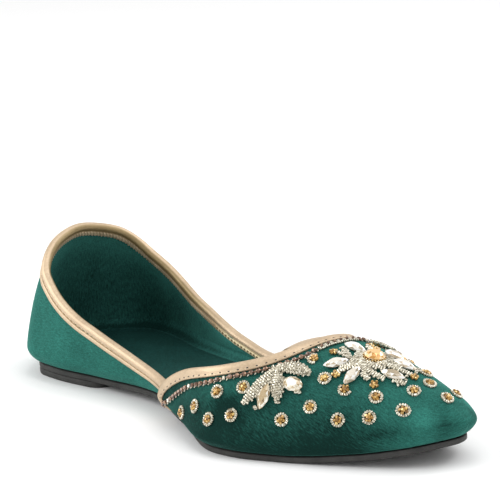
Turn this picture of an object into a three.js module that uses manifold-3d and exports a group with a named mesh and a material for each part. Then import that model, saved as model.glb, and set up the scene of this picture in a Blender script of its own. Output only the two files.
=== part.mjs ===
// Embroidered slip-on shoe for the right foot: velvet upper, leather bindings, thin sole.
// Millimetres. +X is the outer side, +Y the toe, +Z up. The sole stands on z = 0.
import * as THREE from 'three';
import Module from 'manifold-3d';

const wasm = await Module();
wasm.setup();
const { Manifold, Mesh: SolidMesh } = wasm;

// Main sizes of the last
const LENGTH = 250;
const BALL_WIDTH = 88;
const INSTEP_HEIGHT = 65.3;
const TOE_SWING = 17.2;
const HEEL_ROUND = 28;
const TOE_ROUND = 16;
const TUCK = 6;
const GIRTH_RISE = 7;

// Sole and heel
const SOLE = 2.4;
const HEEL_LIFT = 2.9;
const HEEL_LENGTH = 61;
const HEEL_BOW = 3;
const HEEL_CORNER = 5;
const TOE_SPRING = 9.5;

// Upper
const BACK_HEIGHT = 61.4;
const VAMP_LENGTH = 66.5;
const WING_LENGTH = 132.7;
const WING_LEAN = 4;
const INNER_WING = 1.6;
const THROAT_POWER = 3.35;
const VAMP_WALL = 1.8;
const QUARTER_WALL = 1.6;
const QUARTER_INSET = 0.9;
const LAP = 12;
const LAP_BLEND = 22;
const LAP_CUT_FROM = 0.25;

// Bindings, cut from soft leather
const BINDING = 0.8;
const OUTER_GAP = 0.42;
const INNER_GAP = 0.65;
const COLLAR_OUTER = 4.2;
const COLLAR_INNER = 4.4;
const THROAT_BAND = 3.4;
const THROAT_INNER = 3;
const THROAT_INNER_START = 7;

// Insole and the clearance between pieces
const INSOLE = 2.5;
const INSOLE_GAP = 0.95;
const CLEARANCE = 0.3;

// Set stones
const CENTRE_STONE = { length: 9, width: 8.4, height: 3 };
const PETAL_STONE = { length: 10.6, width: 5.4, height: 2.5 };
const SPRAY_STONE = { length: 11.4, width: 5.4, height: 2.5 };
const OVAL_STONE = { length: 9, width: 6.4, height: 2.7 };
const STONE_LAYERS = [{ wide: 0.82, high: 0 }, { wide: 1, high: 0.35 }, { wide: 0.55, high: 1 }];

// Sections of the last. at: share of LENGTH from the back of the heel. half: half width at the
// girth, share of BALL_WIDTH. swing: middle line towards the inner side, share of TOE_SWING.
// tuck: how far the foot edge lies inside the girth, share of TUCK. lift and spring: underside of
// the sole above the floor, shares of HEEL_LIFT and TOE_SPRING. girth: height of the girth above
// the foot edge, share of GIRTH_RISE. crown: height of the ridge, share of INSTEP_HEIGHT.
// shoulder and flank: powers of the section's arch.
const SECTIONS = [
  { at: 0.00, half: 0.336, swing: 0.00, tuck: 0.82, lift: 1.00, spring: 0.00, girth: 1.00,
    crown: 1.038, shoulder: 2.3, flank: 1.35 },
  { at: 0.06, half: 0.412, swing: 0.00, tuck: 0.94, lift: 1.00, spring: 0.00, girth: 1.00,
    crown: 1.072, shoulder: 2.3, flank: 1.35 },
  { at: 0.14, half: 0.430, swing: 0.00, tuck: 1.00, lift: 1.00, spring: 0.00, girth: 1.00,
    crown: 1.170, shoulder: 2.3, flank: 1.35 },
  { at: 0.26, half: 0.369, swing: 0.00, tuck: 0.96, lift: 1.00, spring: 0.00, girth: 1.00,
    crown: 1.323, shoulder: 2.3, flank: 1.35 },
  { at: 0.40, half: 0.328, swing: -0.07, tuck: 0.82, lift: 1.39, spring: 0.00, girth: 0.89,
    crown: 1.256, shoulder: 2.3, flank: 1.34 },
  { at: 0.53, half: 0.386, swing: -0.33, tuck: 0.94, lift: 0.59, spring: 0.00, girth: 0.72,
    crown: 1.000, shoulder: 2.3, flank: 1.32 },
  { at: 0.65, half: 0.500, swing: -0.30, tuck: 0.72, lift: 0.00, spring: 0.00, girth: 0.64,
    crown: 0.747, shoulder: 2.3, flank: 1.30 },
  { at: 0.71, half: 0.502, swing: -0.12, tuck: 0.60, lift: 0.00, spring: 0.00, girth: 0.65,
    crown: 0.661, shoulder: 2.3, flank: 1.31 },
  { at: 0.77, half: 0.459, swing: 0.15, tuck: 0.51, lift: 0.00, spring: 0.00, girth: 0.67,
    crown: 0.626, shoulder: 2.3, flank: 1.33 },
  { at: 0.88, half: 0.317, swing: 0.48, tuck: 0.49, lift: 0.00, spring: 0.28, girth: 0.74,
    crown: 0.538, shoulder: 2.2, flank: 1.58 },
  { at: 0.94, half: 0.229, swing: 0.71, tuck: 0.52, lift: 0.00, spring: 0.60, girth: 0.79,
    crown: 0.449, shoulder: 2.1, flank: 1.79 },
  { at: 1.00, half: 0.152, swing: 1.00, tuck: 0.80, lift: 0.00, spring: 1.00, girth: 0.82,
    crown: 0.340, shoulder: 2.0, flank: 2.00 },
];

// Edge of the collar. at: share of the way from the heel to the back of the wing.
// height: share of BACK_HEIGHT.
const TOPLINE = [
  { at: 0.00, height: 1.000 },
  { at: 0.11, height: 0.942 },
  { at: 0.26, height: 0.738 },
  { at: 0.52, height: 0.478 },
  { at: 1.00, height: 0.268 },
  { at: 1.30, height: 0.252 },
];

// Stones on the vamp. ahead: distance behind the toe tip, share of LENGTH. over: place across,
// 1 at the outer foot edge, 0 on the ridge, -1 at the inner foot edge. turn: degrees of the long
// side from straight ahead, towards the outer side.
const STONES = [
  { name: 'centre_stone', cut: CENTRE_STONE, ahead: 0.167, over: 0.005, turn: 0, round: 2 },
  { name: 'petal_stone_outer', cut: PETAL_STONE, ahead: 0.194, over: 0.203, turn: -40, round: 1.45 },
  { name: 'petal_stone_outer_front', cut: PETAL_STONE, ahead: 0.156, over: 0.262, turn: -78, round: 1.45 },
  { name: 'petal_stone_back', cut: PETAL_STONE, ahead: 0.207, over: 0.000, turn: -2, round: 1.45 },
  { name: 'petal_stone_front', cut: PETAL_STONE, ahead: 0.112, over: 0.120, turn: -13, round: 1.45 },
  { name: 'petal_stone_inner_front', cut: PETAL_STONE, ahead: 0.124, over: -0.070, turn: -12, round: 1.45 },
  { name: 'petal_stone_inner', cut: PETAL_STONE, ahead: 0.157, over: -0.125, turn: -2, round: 1.45 },
  { name: 'spray_stone_outer', cut: SPRAY_STONE, ahead: 0.259, over: 0.490, turn: 96, round: 1.45 },
  { name: 'oval_stone_outer', cut: OVAL_STONE, ahead: 0.228, over: 0.400, turn: 8, round: 1.8 },
  { name: 'spray_stone_inner', cut: SPRAY_STONE, ahead: 0.259, over: -0.490, turn: -96, round: 1.45 },
  { name: 'oval_stone_inner', cut: OVAL_STONE, ahead: 0.228, over: -0.400, turn: -8, round: 1.8 },
];

// How finely the surfaces are divided
const GIRTH_AT = 0.15;
const LOW_STEPS = 3;
const ARCH_STEPS = 12;
const VAMP_STEPS = 11;
const TOE_STEPS = 5;
const QUARTER_COLUMNS = 21;
const QUARTER_STEPS = 7;
const SOLE_COLUMNS = 34;
const STONE_POINTS = 14;
const PAD_LINES = [1, 0.5, 0, -0.5, -1];
const HALVINGS = 40;
const END_ROUNDS = 12;
const WELD = 1e-4;
const NUDGE = 0.02;
const NUDGE_SHARE = 5e-4;
const CORE_HEIGHT = 1 / 3;

// Smooth curve through the rows of a table. A full curve rounds its peaks past the rows; the
// other kind never overshoots them.
function through(xs, ys, full = false) {
  const last = xs.length - 1;
  const width = xs.slice(1).map((x, i) => x - xs[i]);
  const slope = ys.slice(1).map((y, i) => (y - ys[i]) / width[i]);
  const lean = [slope[0]];
  for (let i = 1; i < last; i += 1) {
    const near = 2 * width[i] + width[i - 1];
    const far = width[i] + 2 * width[i - 1];
    if (full) {
      lean.push((slope[i - 1] * width[i] + slope[i] * width[i - 1]) / (width[i - 1] + width[i]));
    } else {
      const turns = slope[i - 1] * slope[i] <= 0;
      lean.push(turns ? 0 : (near + far) / (near / slope[i - 1] + far / slope[i]));
    }
  }
  lean.push(slope[last - 1]);
  return (x) => {
    const at = Math.min(Math.max(x, xs[0]), xs[last]);
    let i = 0;
    while (i < last - 1 && at > xs[i + 1]) {
      i += 1;
    }
    const t = (at - xs[i]) / width[i];
    const s = 1 - t;
    return s * s * (1 + 2 * t) * ys[i] + t * t * (1 + 2 * s) * ys[i + 1]
      + width[i] * t * s * (s * lean[i] - t * lean[i + 1]);
  };
}

function column(name, size, full) {
  return through(SECTIONS.map((row) => row.at * LENGTH), SECTIONS.map((row) => row[name] * size), full);
}

const halfWidth = column('half', BALL_WIDTH, true);
const swing = column('swing', -TOE_SWING);
const tuck = column('tuck', TUCK);
const lift = column('lift', HEEL_LIFT);
const spring = column('spring', TOE_SPRING);
const girth = column('girth', GIRTH_RISE);
const crown = column('crown', INSTEP_HEIGHT, true);
const shoulder = column('shoulder', 1);
const flank = column('flank', 1);

const WING_AT = LENGTH - WING_LENGTH;
const THROAT_AT = LENGTH - VAMP_LENGTH;
const topHeight = through(TOPLINE.map((row) => row.at * WING_AT),
  TOPLINE.map((row) => row.height * BACK_HEIGHT));

const clamp = (value, low, high) => Math.min(Math.max(value, low), high);
const ease = (value) => {
  const t = clamp(value, 0, 1);
  return t * t * (3 - 2 * t);
};
const soleBottom = (y) => lift(y) + spring(y);
const footing = (y) => soleBottom(y) + SOLE + CLEARANCE;

// Ray from the middle line to the girth: straight out along the shoe, fanned at heel and toe
function ray(s) {
  const root = clamp(s, HEEL_ROUND, LENGTH - TOE_ROUND);
  const back = clamp((HEEL_ROUND - s) / HEEL_ROUND, 0, 1);
  const front = clamp((s - LENGTH + TOE_ROUND) / TOE_ROUND, 0, 1);
  const side = halfWidth(s) * Math.sqrt(1 - back * back) * Math.sqrt(1 - front * front);
  const along = s - root;
  const reach = Math.hypot(side, along);
  return { root, reach, out: side / reach, fore: along / reach };
}

// Outer surface of the last at station s; across is 1 at the outer foot edge, 0 on the ridge and
// -1 at the inner foot edge
function skin(s, across) {
  const { root, reach, out, fore } = ray(s);
  const hand = across < 0 ? -1 : 1;
  const up = 1 - Math.abs(across);
  if (up < GIRTH_AT) {
    const t = up / GIRTH_AT;
    const arm = reach - tuck(s) * (1 - t) ** 2;
    const y = root + arm * fore;
    return new THREE.Vector3(swing(y) + hand * arm * out, y, footing(y) + girth(s) * t);
  }
  const rho = Math.cos(((up - GIRTH_AT) / (1 - GIRTH_AT)) * Math.PI / 2);
  const base = footing(root + reach * fore) + girth(s);
  const y = root + reach * rho * fore;
  const arch = (1 - rho ** shoulder(s)) ** (1 / flank(s));
  return new THREE.Vector3(swing(y) + hand * reach * rho * out, y, base + (crown(y) - base) * arch);
}

// Stations by distance round the heel, negative on the inner side
const HEEL_QUARTER = HEEL_ROUND * Math.PI / 2;
function stationOf(p) {
  const far = Math.abs(p);
  if (far < HEEL_QUARTER) {
    return HEEL_ROUND * (1 - Math.cos(far / HEEL_ROUND));
  }
  return HEEL_ROUND + far - HEEL_QUARTER;
}
function roundOf(s) {
  return s < HEEL_ROUND ? HEEL_ROUND * Math.acos(1 - s / HEEL_ROUND) : HEEL_QUARTER + s - HEEL_ROUND;
}

// The two ways of finding a place on the skin: by station and across, and round the heel and up
const vampChart = {
  at: (s, across) => skin(s, across),
  steps: [NUDGE, NUDGE_SHARE],
};
const quarterChart = {
  at: (p, up) => skin(stationOf(p), (p < 0 ? -1 : 1) * (1 - up)),
  steps: [NUDGE, NUDGE_SHARE],
};

function tangents(chart, u, v) {
  const [du, dv] = chart.steps;
  const alongU = chart.at(u + du, v).sub(chart.at(u - du, v)).divideScalar(2 * du);
  const alongV = chart.at(u, v + dv).sub(chart.at(u, v - dv)).divideScalar(2 * dv);
  return [alongU, alongV];
}

function normal(chart, u, v) {
  const [a, b] = tangents(chart, u, v);
  const n = a.cross(b).normalize();
  const p = chart.at(u, v);
  const root = clamp(p.y, HEEL_ROUND, LENGTH - TOE_ROUND);
  const inside = new THREE.Vector3(swing(root), root, footing(root) + crown(root) * CORE_HEIGHT);
  return n.dot(p.sub(inside)) < 0 ? n.negate() : n;
}

// Place reached by going a short way over the skin in a direction, then off it by height
function step(chart, u, v, direction, distance, height) {
  const [a, b] = tangents(chart, u, v);
  const aa = a.dot(a);
  const bb = b.dot(b);
  const ab = a.dot(b);
  const ad = a.dot(direction) * distance;
  const bd = b.dot(direction) * distance;
  const det = aa * bb - ab * ab;
  const nextU = u + (ad * bb - bd * ab) / det;
  const nextV = v + (bd * aa - ad * ab) / det;
  return chart.at(nextU, nextV).addScaledVector(normal(chart, nextU, nextV), height);
}

// Throat line, by place across the vamp. The inner wing ends a little further forward
function throat(across) {
  const up = 1 - Math.abs(across);
  const wing = WING_AT + (across < 0 ? INNER_WING : 0);
  if (up < GIRTH_AT) {
    return wing + WING_LEAN * (1 - up / GIRTH_AT) ** 2;
  }
  const rho = Math.cos(((up - GIRTH_AT) / (1 - GIRTH_AT)) * Math.PI / 2);
  return THROAT_AT - (THROAT_AT - wing) * rho ** THROAT_POWER;
}

// How far up the skin the collar's edge lies at station s, on one hand
function topUp(s, hand) {
  let low = GIRTH_AT;
  let high = 1;
  for (let i = 0; i < HALVINGS; i += 1) {
    const middle = (low + high) / 2;
    if (skin(s, hand * (1 - middle)).z < topHeight(s)) {
      low = middle;
    } else {
      high = middle;
    }
  }
  return low;
}

// Mesh helpers: welded triangles, thickened sheets and swept sections
function weld(points, triangles) {
  const seen = new Map();
  const kept = [];
  const index = points.map((p) => {
    const key = [p.x, p.y, p.z].map((value) => Math.round(value / WELD)).join(' ');
    if (!seen.has(key)) {
      seen.set(key, kept.length);
      kept.push(p);
    }
    return seen.get(key);
  });
  const faces = triangles.map((t) => t.map((i) => index[i]))
    .filter(([a, b, c]) => a !== b && b !== c && c !== a);
  return { index, kept, faces };
}

function bodyOf(kept, faces) {
  return new Manifold(new SolidMesh({
    numProp: 3,
    vertProperties: new Float32Array(kept.flatMap((p) => [p.x, p.y, p.z])),
    triVerts: new Uint32Array(faces.flat()),
  }));
}

function solid(points, triangles) {
  const { kept, faces } = weld(points, triangles);
  const body = bodyOf(kept, faces);
  return body.volume() < 0 ? bodyOf(kept, faces.map(([a, b, c]) => [a, c, b])) : body;
}

function mainPiece(body) {
  return body.decompose().sort((a, b) => b.volume() - a.volume())[0];
}

// Triangles of a grid, each square cut along its shorter diagonal
function gridFaces(points, rows, columns) {
  const faces = [];
  for (let i = 0; i < rows - 1; i += 1) {
    for (let j = 0; j < columns - 1; j += 1) {
      const a = i * columns + j;
      const b = a + columns;
      if (points[a].distanceTo(points[b + 1]) <= points[a + 1].distanceTo(points[b])) {
        faces.push([a, b, b + 1], [a, b + 1, a + 1]);
      } else {
        faces.push([a, b, a + 1], [a + 1, b, b + 1]);
      }
    }
  }
  return faces;
}

// Sheet of points on the skin made into a wall; inset(i) is the depth of its outer face
function wall(points, triangles, inset, thickness, isFoot) {
  const { index, kept, faces } = weld(points, triangles);
  const normals = kept.map(() => new THREE.Vector3());
  for (const [a, b, c] of faces) {
    const ab = kept[b].clone().sub(kept[a]);
    const ac = kept[c].clone().sub(kept[a]);
    const n = ab.cross(ac);
    [a, b, c].forEach((i) => normals[i].add(n));
  }
  normals.forEach((n) => n.normalize());
  const outer = kept.map((p) => p.clone());
  points.forEach((p, i) => {
    const n = normals[index[i]];
    if (isFoot(i)) {
      const flat = new THREE.Vector3(n.x, n.y, 0).normalize();
      outer[index[i]] = p.clone().addScaledVector(flat, -inset(i) / n.dot(flat));
    } else {
      outer[index[i]] = p.clone().addScaledVector(n, -inset(i));
    }
  });
  const inner = outer.map((p, i) => p.clone().addScaledVector(normals[i], -thickness));
  const count = kept.length;
  const edges = new Map();
  for (const [a, b, c] of faces) {
    [[a, b], [b, c], [c, a]].forEach(([from, to]) => edges.set(`${from} ${to}`, [from, to]));
  }
  const all = faces.concat(faces.map(([a, b, c]) => [a + count, c + count, b + count]));
  for (const [from, to] of edges.values()) {
    if (!edges.has(`${to} ${from}`)) {
      all.push([to, from, from + count], [to, from + count, to + count]);
    }
  }
  return solid(outer.concat(inner), all);
}

// Body through a row of rings that each follow one section, capped at both ends
function sweep(rings, section) {
  const size = section.length;
  const faces = [];
  const points = rings.flat();
  rings.slice(1).forEach((ring, i) => {
    for (let j = 0; j < size; j += 1) {
      const a = i * size + j;
      const b = i * size + ((j + 1) % size);
      if (points[a].distanceTo(points[b + size]) <= points[b].distanceTo(points[a + size])) {
        faces.push([a, a + size, b + size], [a, b + size, b]);
      } else {
        faces.push([a, a + size, b], [b, a + size, b + size]);
      }
    }
  });
  const outline = section.map(([x, y]) => new THREE.Vector2(x, y));
  const turning = Math.sign(THREE.ShapeUtils.area(outline));
  const cap = THREE.ShapeUtils.triangulateShape(outline, []).map(([a, b, c]) => {
    const same = Math.sign(THREE.ShapeUtils.area([outline[a], outline[b], outline[c]])) === turning;
    return same ? [a, b, c] : [a, c, b];
  });
  const end = (rings.length - 1) * size;
  for (const [a, b, c] of cap) {
    faces.push([a, b, c], [end + a, end + c, end + b]);
  }
  return solid(points, faces);
}

// Vamp: ribbons from the throat line to the toe, across from one foot edge to the other
const ACROSS = [];
for (let i = 0; i <= LOW_STEPS; i += 1) {
  ACROSS.push(1 - GIRTH_AT * (i / LOW_STEPS));
}
for (let i = 1; i <= ARCH_STEPS; i += 1) {
  ACROSS.push((1 - GIRTH_AT) * (1 - i / ARCH_STEPS));
}
for (let i = ACROSS.length - 2; i >= 0; i -= 1) {
  ACROSS.push(-ACROSS[i]);
}

function vampShell() {
  const points = [];
  const front = LENGTH - TOE_ROUND;
  ACROSS.forEach((across) => points.push(skin(throat(across), across)));
  for (let i = 0; i < VAMP_STEPS; i += 1) {
    ACROSS.forEach((across) => {
      const start = throat(across) + THROAT_BAND;
      points.push(skin(start + (front - start) * (i / (VAMP_STEPS - 1)), across));
    });
  }
  for (let i = 1; i <= TOE_STEPS; i += 1) {
    const s = front + TOE_ROUND * Math.sin((i / TOE_STEPS) * Math.PI / 2);
    ACROSS.forEach((across) => points.push(skin(s, across)));
  }
  const faces = gridFaces(points, VAMP_STEPS + TOE_STEPS + 1, ACROSS.length);
  return wall(points, faces, () => 0, VAMP_WALL, (i) => Math.abs(ACROSS[i % ACROSS.length]) === 1);
}

// Quarter: from one lap under the vamp, round the heel, to the other
function upAt(p, level) {
  const s = stationOf(p);
  const share = LOW_STEPS / (LOW_STEPS + QUARTER_STEPS);
  if (level < share) {
    return GIRTH_AT * (level / share);
  }
  return GIRTH_AT + (topUp(s, p < 0 ? -1 : 1) - GIRTH_AT) * ((level - share) / (1 - share));
}

function quarterEnd(level, hand) {
  let s = WING_AT + LAP;
  for (let i = 0; i < END_ROUNDS; i += 1) {
    s = throat(1 - upAt(hand * roundOf(s), level)) + LAP;
  }
  return roundOf(s);
}

function dip(s) {
  return QUARTER_INSET * ease((s - (WING_AT - LAP_BLEND)) / LAP_BLEND);
}

function quarterShell() {
  const points = [];
  const depths = [];
  const rows = LOW_STEPS + QUARTER_STEPS + 1;
  const columns = 2 * QUARTER_COLUMNS + 1;
  for (let i = 0; i < rows; i += 1) {
    const level = i / (rows - 1);
    const ends = [quarterEnd(level, -1), quarterEnd(level, 1)];
    for (let j = 0; j < columns; j += 1) {
      const share = j / QUARTER_COLUMNS - 1;
      const p = share * (share < 0 ? ends[0] : ends[1]);
      points.push(quarterChart.at(p, upAt(p, level)));
      depths.push(dip(stationOf(p)));
    }
  }
  const faces = gridFaces(points, rows, columns).map(([a, b, c]) => [a, c, b]);
  return wall(points, faces, (i) => depths[i], QUARTER_WALL, (i) => i < columns);
}

const upper = mainPiece(vampShell().add(quarterShell()));

// Throat binding: a band over the vamp's edge, turned in along the opening
function throatRing(across, section) {
  const s = throat(across);
  const half = NUDGE_SHARE;
  const before = skin(throat(across - half), across - half);
  const edge = skin(throat(across + half), across + half).sub(before).normalize();
  const forward = normal(vampChart, s, across).cross(edge);
  if (forward.y < 0) {
    forward.negate();
  }
  return section.map(([d, h]) => step(vampChart, s, across, forward, d, h));
}

function throatBinding() {
  const near = OUTER_GAP;
  const far = near + BINDING;
  const ledge = -QUARTER_INSET + CLEARANCE;
  const middle = THROAT_BAND / 2;
  const band = [
    [THROAT_BAND, near], [THROAT_BAND, far], [middle, far], [-near, far], [-far, near],
    [-far, ledge], [-near, ledge], [-near, near], [middle, near],
  ];
  const under = -VAMP_WALL - INNER_GAP;
  const turned = [
    [THROAT_INNER, under], [THROAT_INNER, under - BINDING], [-near, under - BINDING], [-far, under],
    [-far, near], [-near, far], [-near, near], [-near, under],
  ];
  const ends = ACROSS.map((across) => (Math.abs(across) === 1 ? across * (1 - NUDGE_SHARE * 2) : across));
  const outer = sweep(ends.map((across) => throatRing(across, band)), band);
  const free = ACROSS.filter((across) => {
    const edge = skin(throat(across), across);
    return edge.z > topHeight(edge.y) + THROAT_INNER_START;
  });
  const whole = outer.add(sweep(free.map((across) => throatRing(across, turned)), turned));
  return mainPiece(whole.subtract(underfoot()));
}

// Collar binding: a rolled channel over the quarter's edge, cut back from the throat binding
function collarRing(p, section) {
  const hand = p < 0 ? -1 : 1;
  const up = topUp(stationOf(p), hand);
  const edgeAt = (q) => quarterChart.at(q, topUp(stationOf(q), q < 0 ? -1 : 1));
  const edge = edgeAt(p + NUDGE).sub(edgeAt(p - NUDGE)).normalize();
  const down = normal(quarterChart, p, up).cross(edge);
  if (down.z > 0) {
    down.negate();
  }
  const depth = dip(stationOf(p));
  return section.map(([d, h]) => step(quarterChart, p, up, down, d, h - depth));
}

function collarBinding() {
  const near = OUTER_GAP;
  const far = near + BINDING;
  const inside = -QUARTER_WALL - INNER_GAP;
  const channel = [
    [COLLAR_OUTER, near], [COLLAR_OUTER, far], [-near, far], [-far, near],
    [-far, inside], [-near, inside - BINDING], [COLLAR_INNER / 2, inside - BINDING],
    [COLLAR_INNER, inside - BINDING], [COLLAR_INNER, inside], [COLLAR_INNER / 2, inside],
    [-near, inside], [-near, near],
  ];
  const rings = [];
  const ends = [quarterEnd(1, -1), quarterEnd(1, 1)];
  for (let j = 0; j <= 2 * QUARTER_COLUMNS; j += 1) {
    const share = j / QUARTER_COLUMNS - 1;
    rings.push(collarRing(share * (share < 0 ? ends[0] : ends[1]), channel));
  }
  const reach = LAP * 2;
  const depth = COLLAR_INNER;
  const back = -far - CLEARANCE;
  const block = [[reach, -depth], [reach, depth], [back, depth], [back, -depth]];
  const cutter = (hand) => {
    const places = ACROSS.filter((across) => hand * across > LAP_CUT_FROM && hand * across < 1);
    return sweep(places.map((across) => throatRing(across, block)), block);
  };
  return mainPiece(sweep(rings, channel).subtract(cutter(1)).subtract(cutter(-1)));
}

// Flat pieces under the foot: layers of one outline. reachAt(s, level) is the ring at a level
// and heightAt(y, level) its height
function pad(levels, reachAt, heightAt, start, end) {
  const points = [];
  const faces = [];
  const stations = [];
  const low = roundOf(start);
  const front = LENGTH - TOE_ROUND;
  const toFront = roundOf(Math.min(end, front));
  for (let i = 0; i <= SOLE_COLUMNS; i += 1) {
    stations.push(stationOf(low + (toFront - low) * (i / SOLE_COLUMNS)));
  }
  if (end > front) {
    for (let i = 1; i <= TOE_STEPS; i += 1) {
      stations.push(front + TOE_ROUND * Math.sin((i / TOE_STEPS) * Math.PI / 2));
    }
  }
  const rows = PAD_LINES.length;
  levels.forEach((level) => {
    stations.forEach((s) => {
      const { root, reach, out, fore } = ray(s);
      const arm = reachAt(s, reach, level);
      PAD_LINES.forEach((line) => {
        const y = root + Math.abs(line) * arm * fore;
        points.push(new THREE.Vector3(swing(y) + line * arm * out, y, heightAt(y, level)));
      });
    });
  });
  const layer = stations.length * rows;
  gridFaces(points, stations.length, rows).forEach(([a, b, c]) => {
    faces.push([a, b, c], [a + layer, c + layer, b + layer]);
  });
  for (let i = 0; i < stations.length - 1; i += 1) {
    const a = i * rows;
    const b = a + rows;
    faces.push([b, a, a + layer], [b, a + layer, b + layer]);
    const c = a + rows - 1;
    const d = b + rows - 1;
    faces.push([c, d, d + layer], [c, d + layer, c + layer]);
  }
  return { points, faces, layer, rows, stations };
}

// Room under the upper's foot edge that the bindings keep out of
function underfoot() {
  const edge = (s, reach) => reach + THROAT_BAND;
  const { points, faces } = pad([-1, 1], edge, (y, level) => footing(y) - SOLE + SOLE * level, 0, LENGTH);
  return solid(points, faces);
}

function soleBody() {
  const edge = (s, reach) => reach - tuck(s);
  const { points, faces } = pad([0, 1], edge, (y, level) => soleBottom(y) + SOLE * level, 0, LENGTH);
  return solid(points, faces);
}

function heelBody() {
  const edge = (s, reach) => {
    const corner = clamp((s - HEEL_LENGTH) / HEEL_CORNER + 1, 0, 1);
    return reach - tuck(s) - CLEARANCE - HEEL_CORNER * (1 - Math.sqrt(1 - corner * corner));
  };
  const { points, faces, layer, rows, stations } = pad([0, 1], edge,
    (y, level) => (HEEL_LIFT - CLEARANCE) * level, 0, HEEL_LENGTH);
  const last = (stations.length - 1) * rows;
  for (let j = 0; j < rows - 1; j += 1) {
    const a = last + j;
    faces.push([a, a + layer, a + 1], [a + 1, a + layer, a + 1 + layer]);
  }
  for (let j = 0; j < rows; j += 1) {
    const bow = HEEL_BOW * (1 - ((j / (rows - 1)) * 2 - 1) ** 2);
    points[last + j].y += bow;
    points[last + layer + j].y += bow;
  }
  return solid(points, faces);
}

// Reach of the upper's inner face at a height over the foot edge, with the clearance
function innerReach(s, reach, height) {
  const lapEnd = WING_AT + WING_LEAN + LAP;
  const lapped = ease((s - (WING_AT - LAP_BLEND)) / LAP_BLEND) * ease(1 - (s - lapEnd) / LAP);
  const depth = VAMP_WALL + INSOLE_GAP + (QUARTER_INSET + QUARTER_WALL - VAMP_WALL) * lapped;
  const t = Math.min(height / girth(s), 1);
  const slope = (2 * tuck(s) * (1 - t)) / girth(s);
  return reach - tuck(s) * (1 - t) ** 2 - depth * Math.sqrt(1 + slope * slope);
}

function insoleBody() {
  const edge = (s, reach, level) => innerReach(s, reach, INSOLE * level);
  const { points, faces } = pad([0, 1], edge, (y, level) => footing(y) + INSOLE * level, 0, LENGTH);
  return solid(points, faces);
}

// Stone: crown, girdle and base of one outline, seated just over the skin
function stone({ cut, ahead, over, turn, round }) {
  const s = LENGTH * (1 - ahead);
  const n = normal(vampChart, s, over);
  const [along] = tangents(vampChart, s, over);
  const front = along.normalize();
  const side = front.clone().cross(n).normalize();
  const angle = THREE.MathUtils.degToRad(turn);
  const long = front.clone().multiplyScalar(Math.cos(angle)).addScaledVector(side, Math.sin(angle));
  const wide = long.clone().cross(n).normalize();
  const seat = skin(s, over).addScaledVector(n, CLEARANCE);
  const points = [];
  STONE_LAYERS.forEach(({ wide: scale, high }) => {
    for (let i = 0; i < STONE_POINTS; i += 1) {
      const a = (i / STONE_POINTS) * Math.PI * 2;
      const u = Math.cos(a);
      const v = Math.sign(Math.sin(a)) * (1 - Math.abs(u) ** round) ** (1 / round);
      const p = seat.clone().addScaledVector(n, high * cut.height)
        .addScaledVector(long, u * scale * cut.length / 2)
        .addScaledVector(wide, v * scale * cut.width / 2);
      points.push([p.x, p.y, p.z]);
    }
  });
  return Manifold.hull(points);
}

// Scene
function meshOf(name, body, color, roughness, metalness) {
  const data = body.getMesh();
  const geometry = new THREE.BufferGeometry();
  geometry.setAttribute('position', new THREE.BufferAttribute(data.vertProperties, 3));
  geometry.setIndex(new THREE.BufferAttribute(data.triVerts, 1));
  geometry.computeVertexNormals();
  const mesh = new THREE.Mesh(geometry, new THREE.MeshStandardMaterial({ color, roughness, metalness }));
  mesh.name = name;
  return mesh;
}

const RUBBER = [0x39393a, 0.8, 0];
const VELVET = [0x1b4a43, 0.95, 0];
const LINING = [0x0f2925, 0.9, 0];
const LEATHER = [0xdec9a9, 0.45, 0.1];
const AMBER = [0xb8792c, 0.15, 0];
const CRYSTAL = [0xc9cbc6, 0.1, 0];

const shoe = new THREE.Group();
shoe.name = 'mojari_shoe';
shoe.add(meshOf('outsole', soleBody(), ...RUBBER));
shoe.add(meshOf('heel_lift', heelBody(), ...RUBBER));
shoe.add(meshOf('insole', insoleBody(), ...LINING));
shoe.add(meshOf('upper', upper, ...VELVET));
shoe.add(meshOf('collar_binding', collarBinding(), ...LEATHER));
shoe.add(meshOf('throat_binding', throatBinding(), ...LEATHER));
STONES.forEach((row) => {
  shoe.add(meshOf(row.name, stone(row), ...(row.cut === CENTRE_STONE ? AMBER : CRYSTAL)));
});

// The frame's origin is the middle of the shoe's box
const box = new THREE.Box3().setFromObject(shoe);
shoe.position.set(-(box.min.x + box.max.x) / 2, -(box.min.y + box.max.y) / 2, 0);

export default shoe;
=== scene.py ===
import math

import bmesh
import bpy
import numpy as np
from mathutils import Matrix, Vector


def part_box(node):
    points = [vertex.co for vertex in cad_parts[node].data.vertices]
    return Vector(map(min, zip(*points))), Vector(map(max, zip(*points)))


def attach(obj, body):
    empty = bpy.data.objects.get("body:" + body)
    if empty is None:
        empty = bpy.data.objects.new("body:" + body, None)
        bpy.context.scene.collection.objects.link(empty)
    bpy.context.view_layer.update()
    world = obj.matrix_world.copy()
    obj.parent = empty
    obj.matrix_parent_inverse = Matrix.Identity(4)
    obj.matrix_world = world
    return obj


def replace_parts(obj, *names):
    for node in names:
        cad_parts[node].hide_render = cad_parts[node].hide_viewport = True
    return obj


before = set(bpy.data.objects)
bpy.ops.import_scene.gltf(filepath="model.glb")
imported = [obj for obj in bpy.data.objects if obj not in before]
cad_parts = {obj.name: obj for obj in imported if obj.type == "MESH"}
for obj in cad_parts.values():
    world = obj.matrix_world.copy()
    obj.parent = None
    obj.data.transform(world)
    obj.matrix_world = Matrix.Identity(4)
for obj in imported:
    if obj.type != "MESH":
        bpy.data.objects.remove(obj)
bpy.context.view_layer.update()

# Sizes of the shoe in millimetres, as in the part's source
LENGTH = 250.0
BALL_WIDTH = 88.0
INSTEP_HEIGHT = 65.3
TOE_SWING = 17.2
HEEL_ROUND = 28.0
TOE_ROUND = 16.0
TUCK = 6.0
GIRTH_RISE = 7.0
SOLE = 2.4
HEEL_LIFT = 2.9
HEEL_LENGTH = 61.0
HEEL_BOW = 3.0
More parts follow.
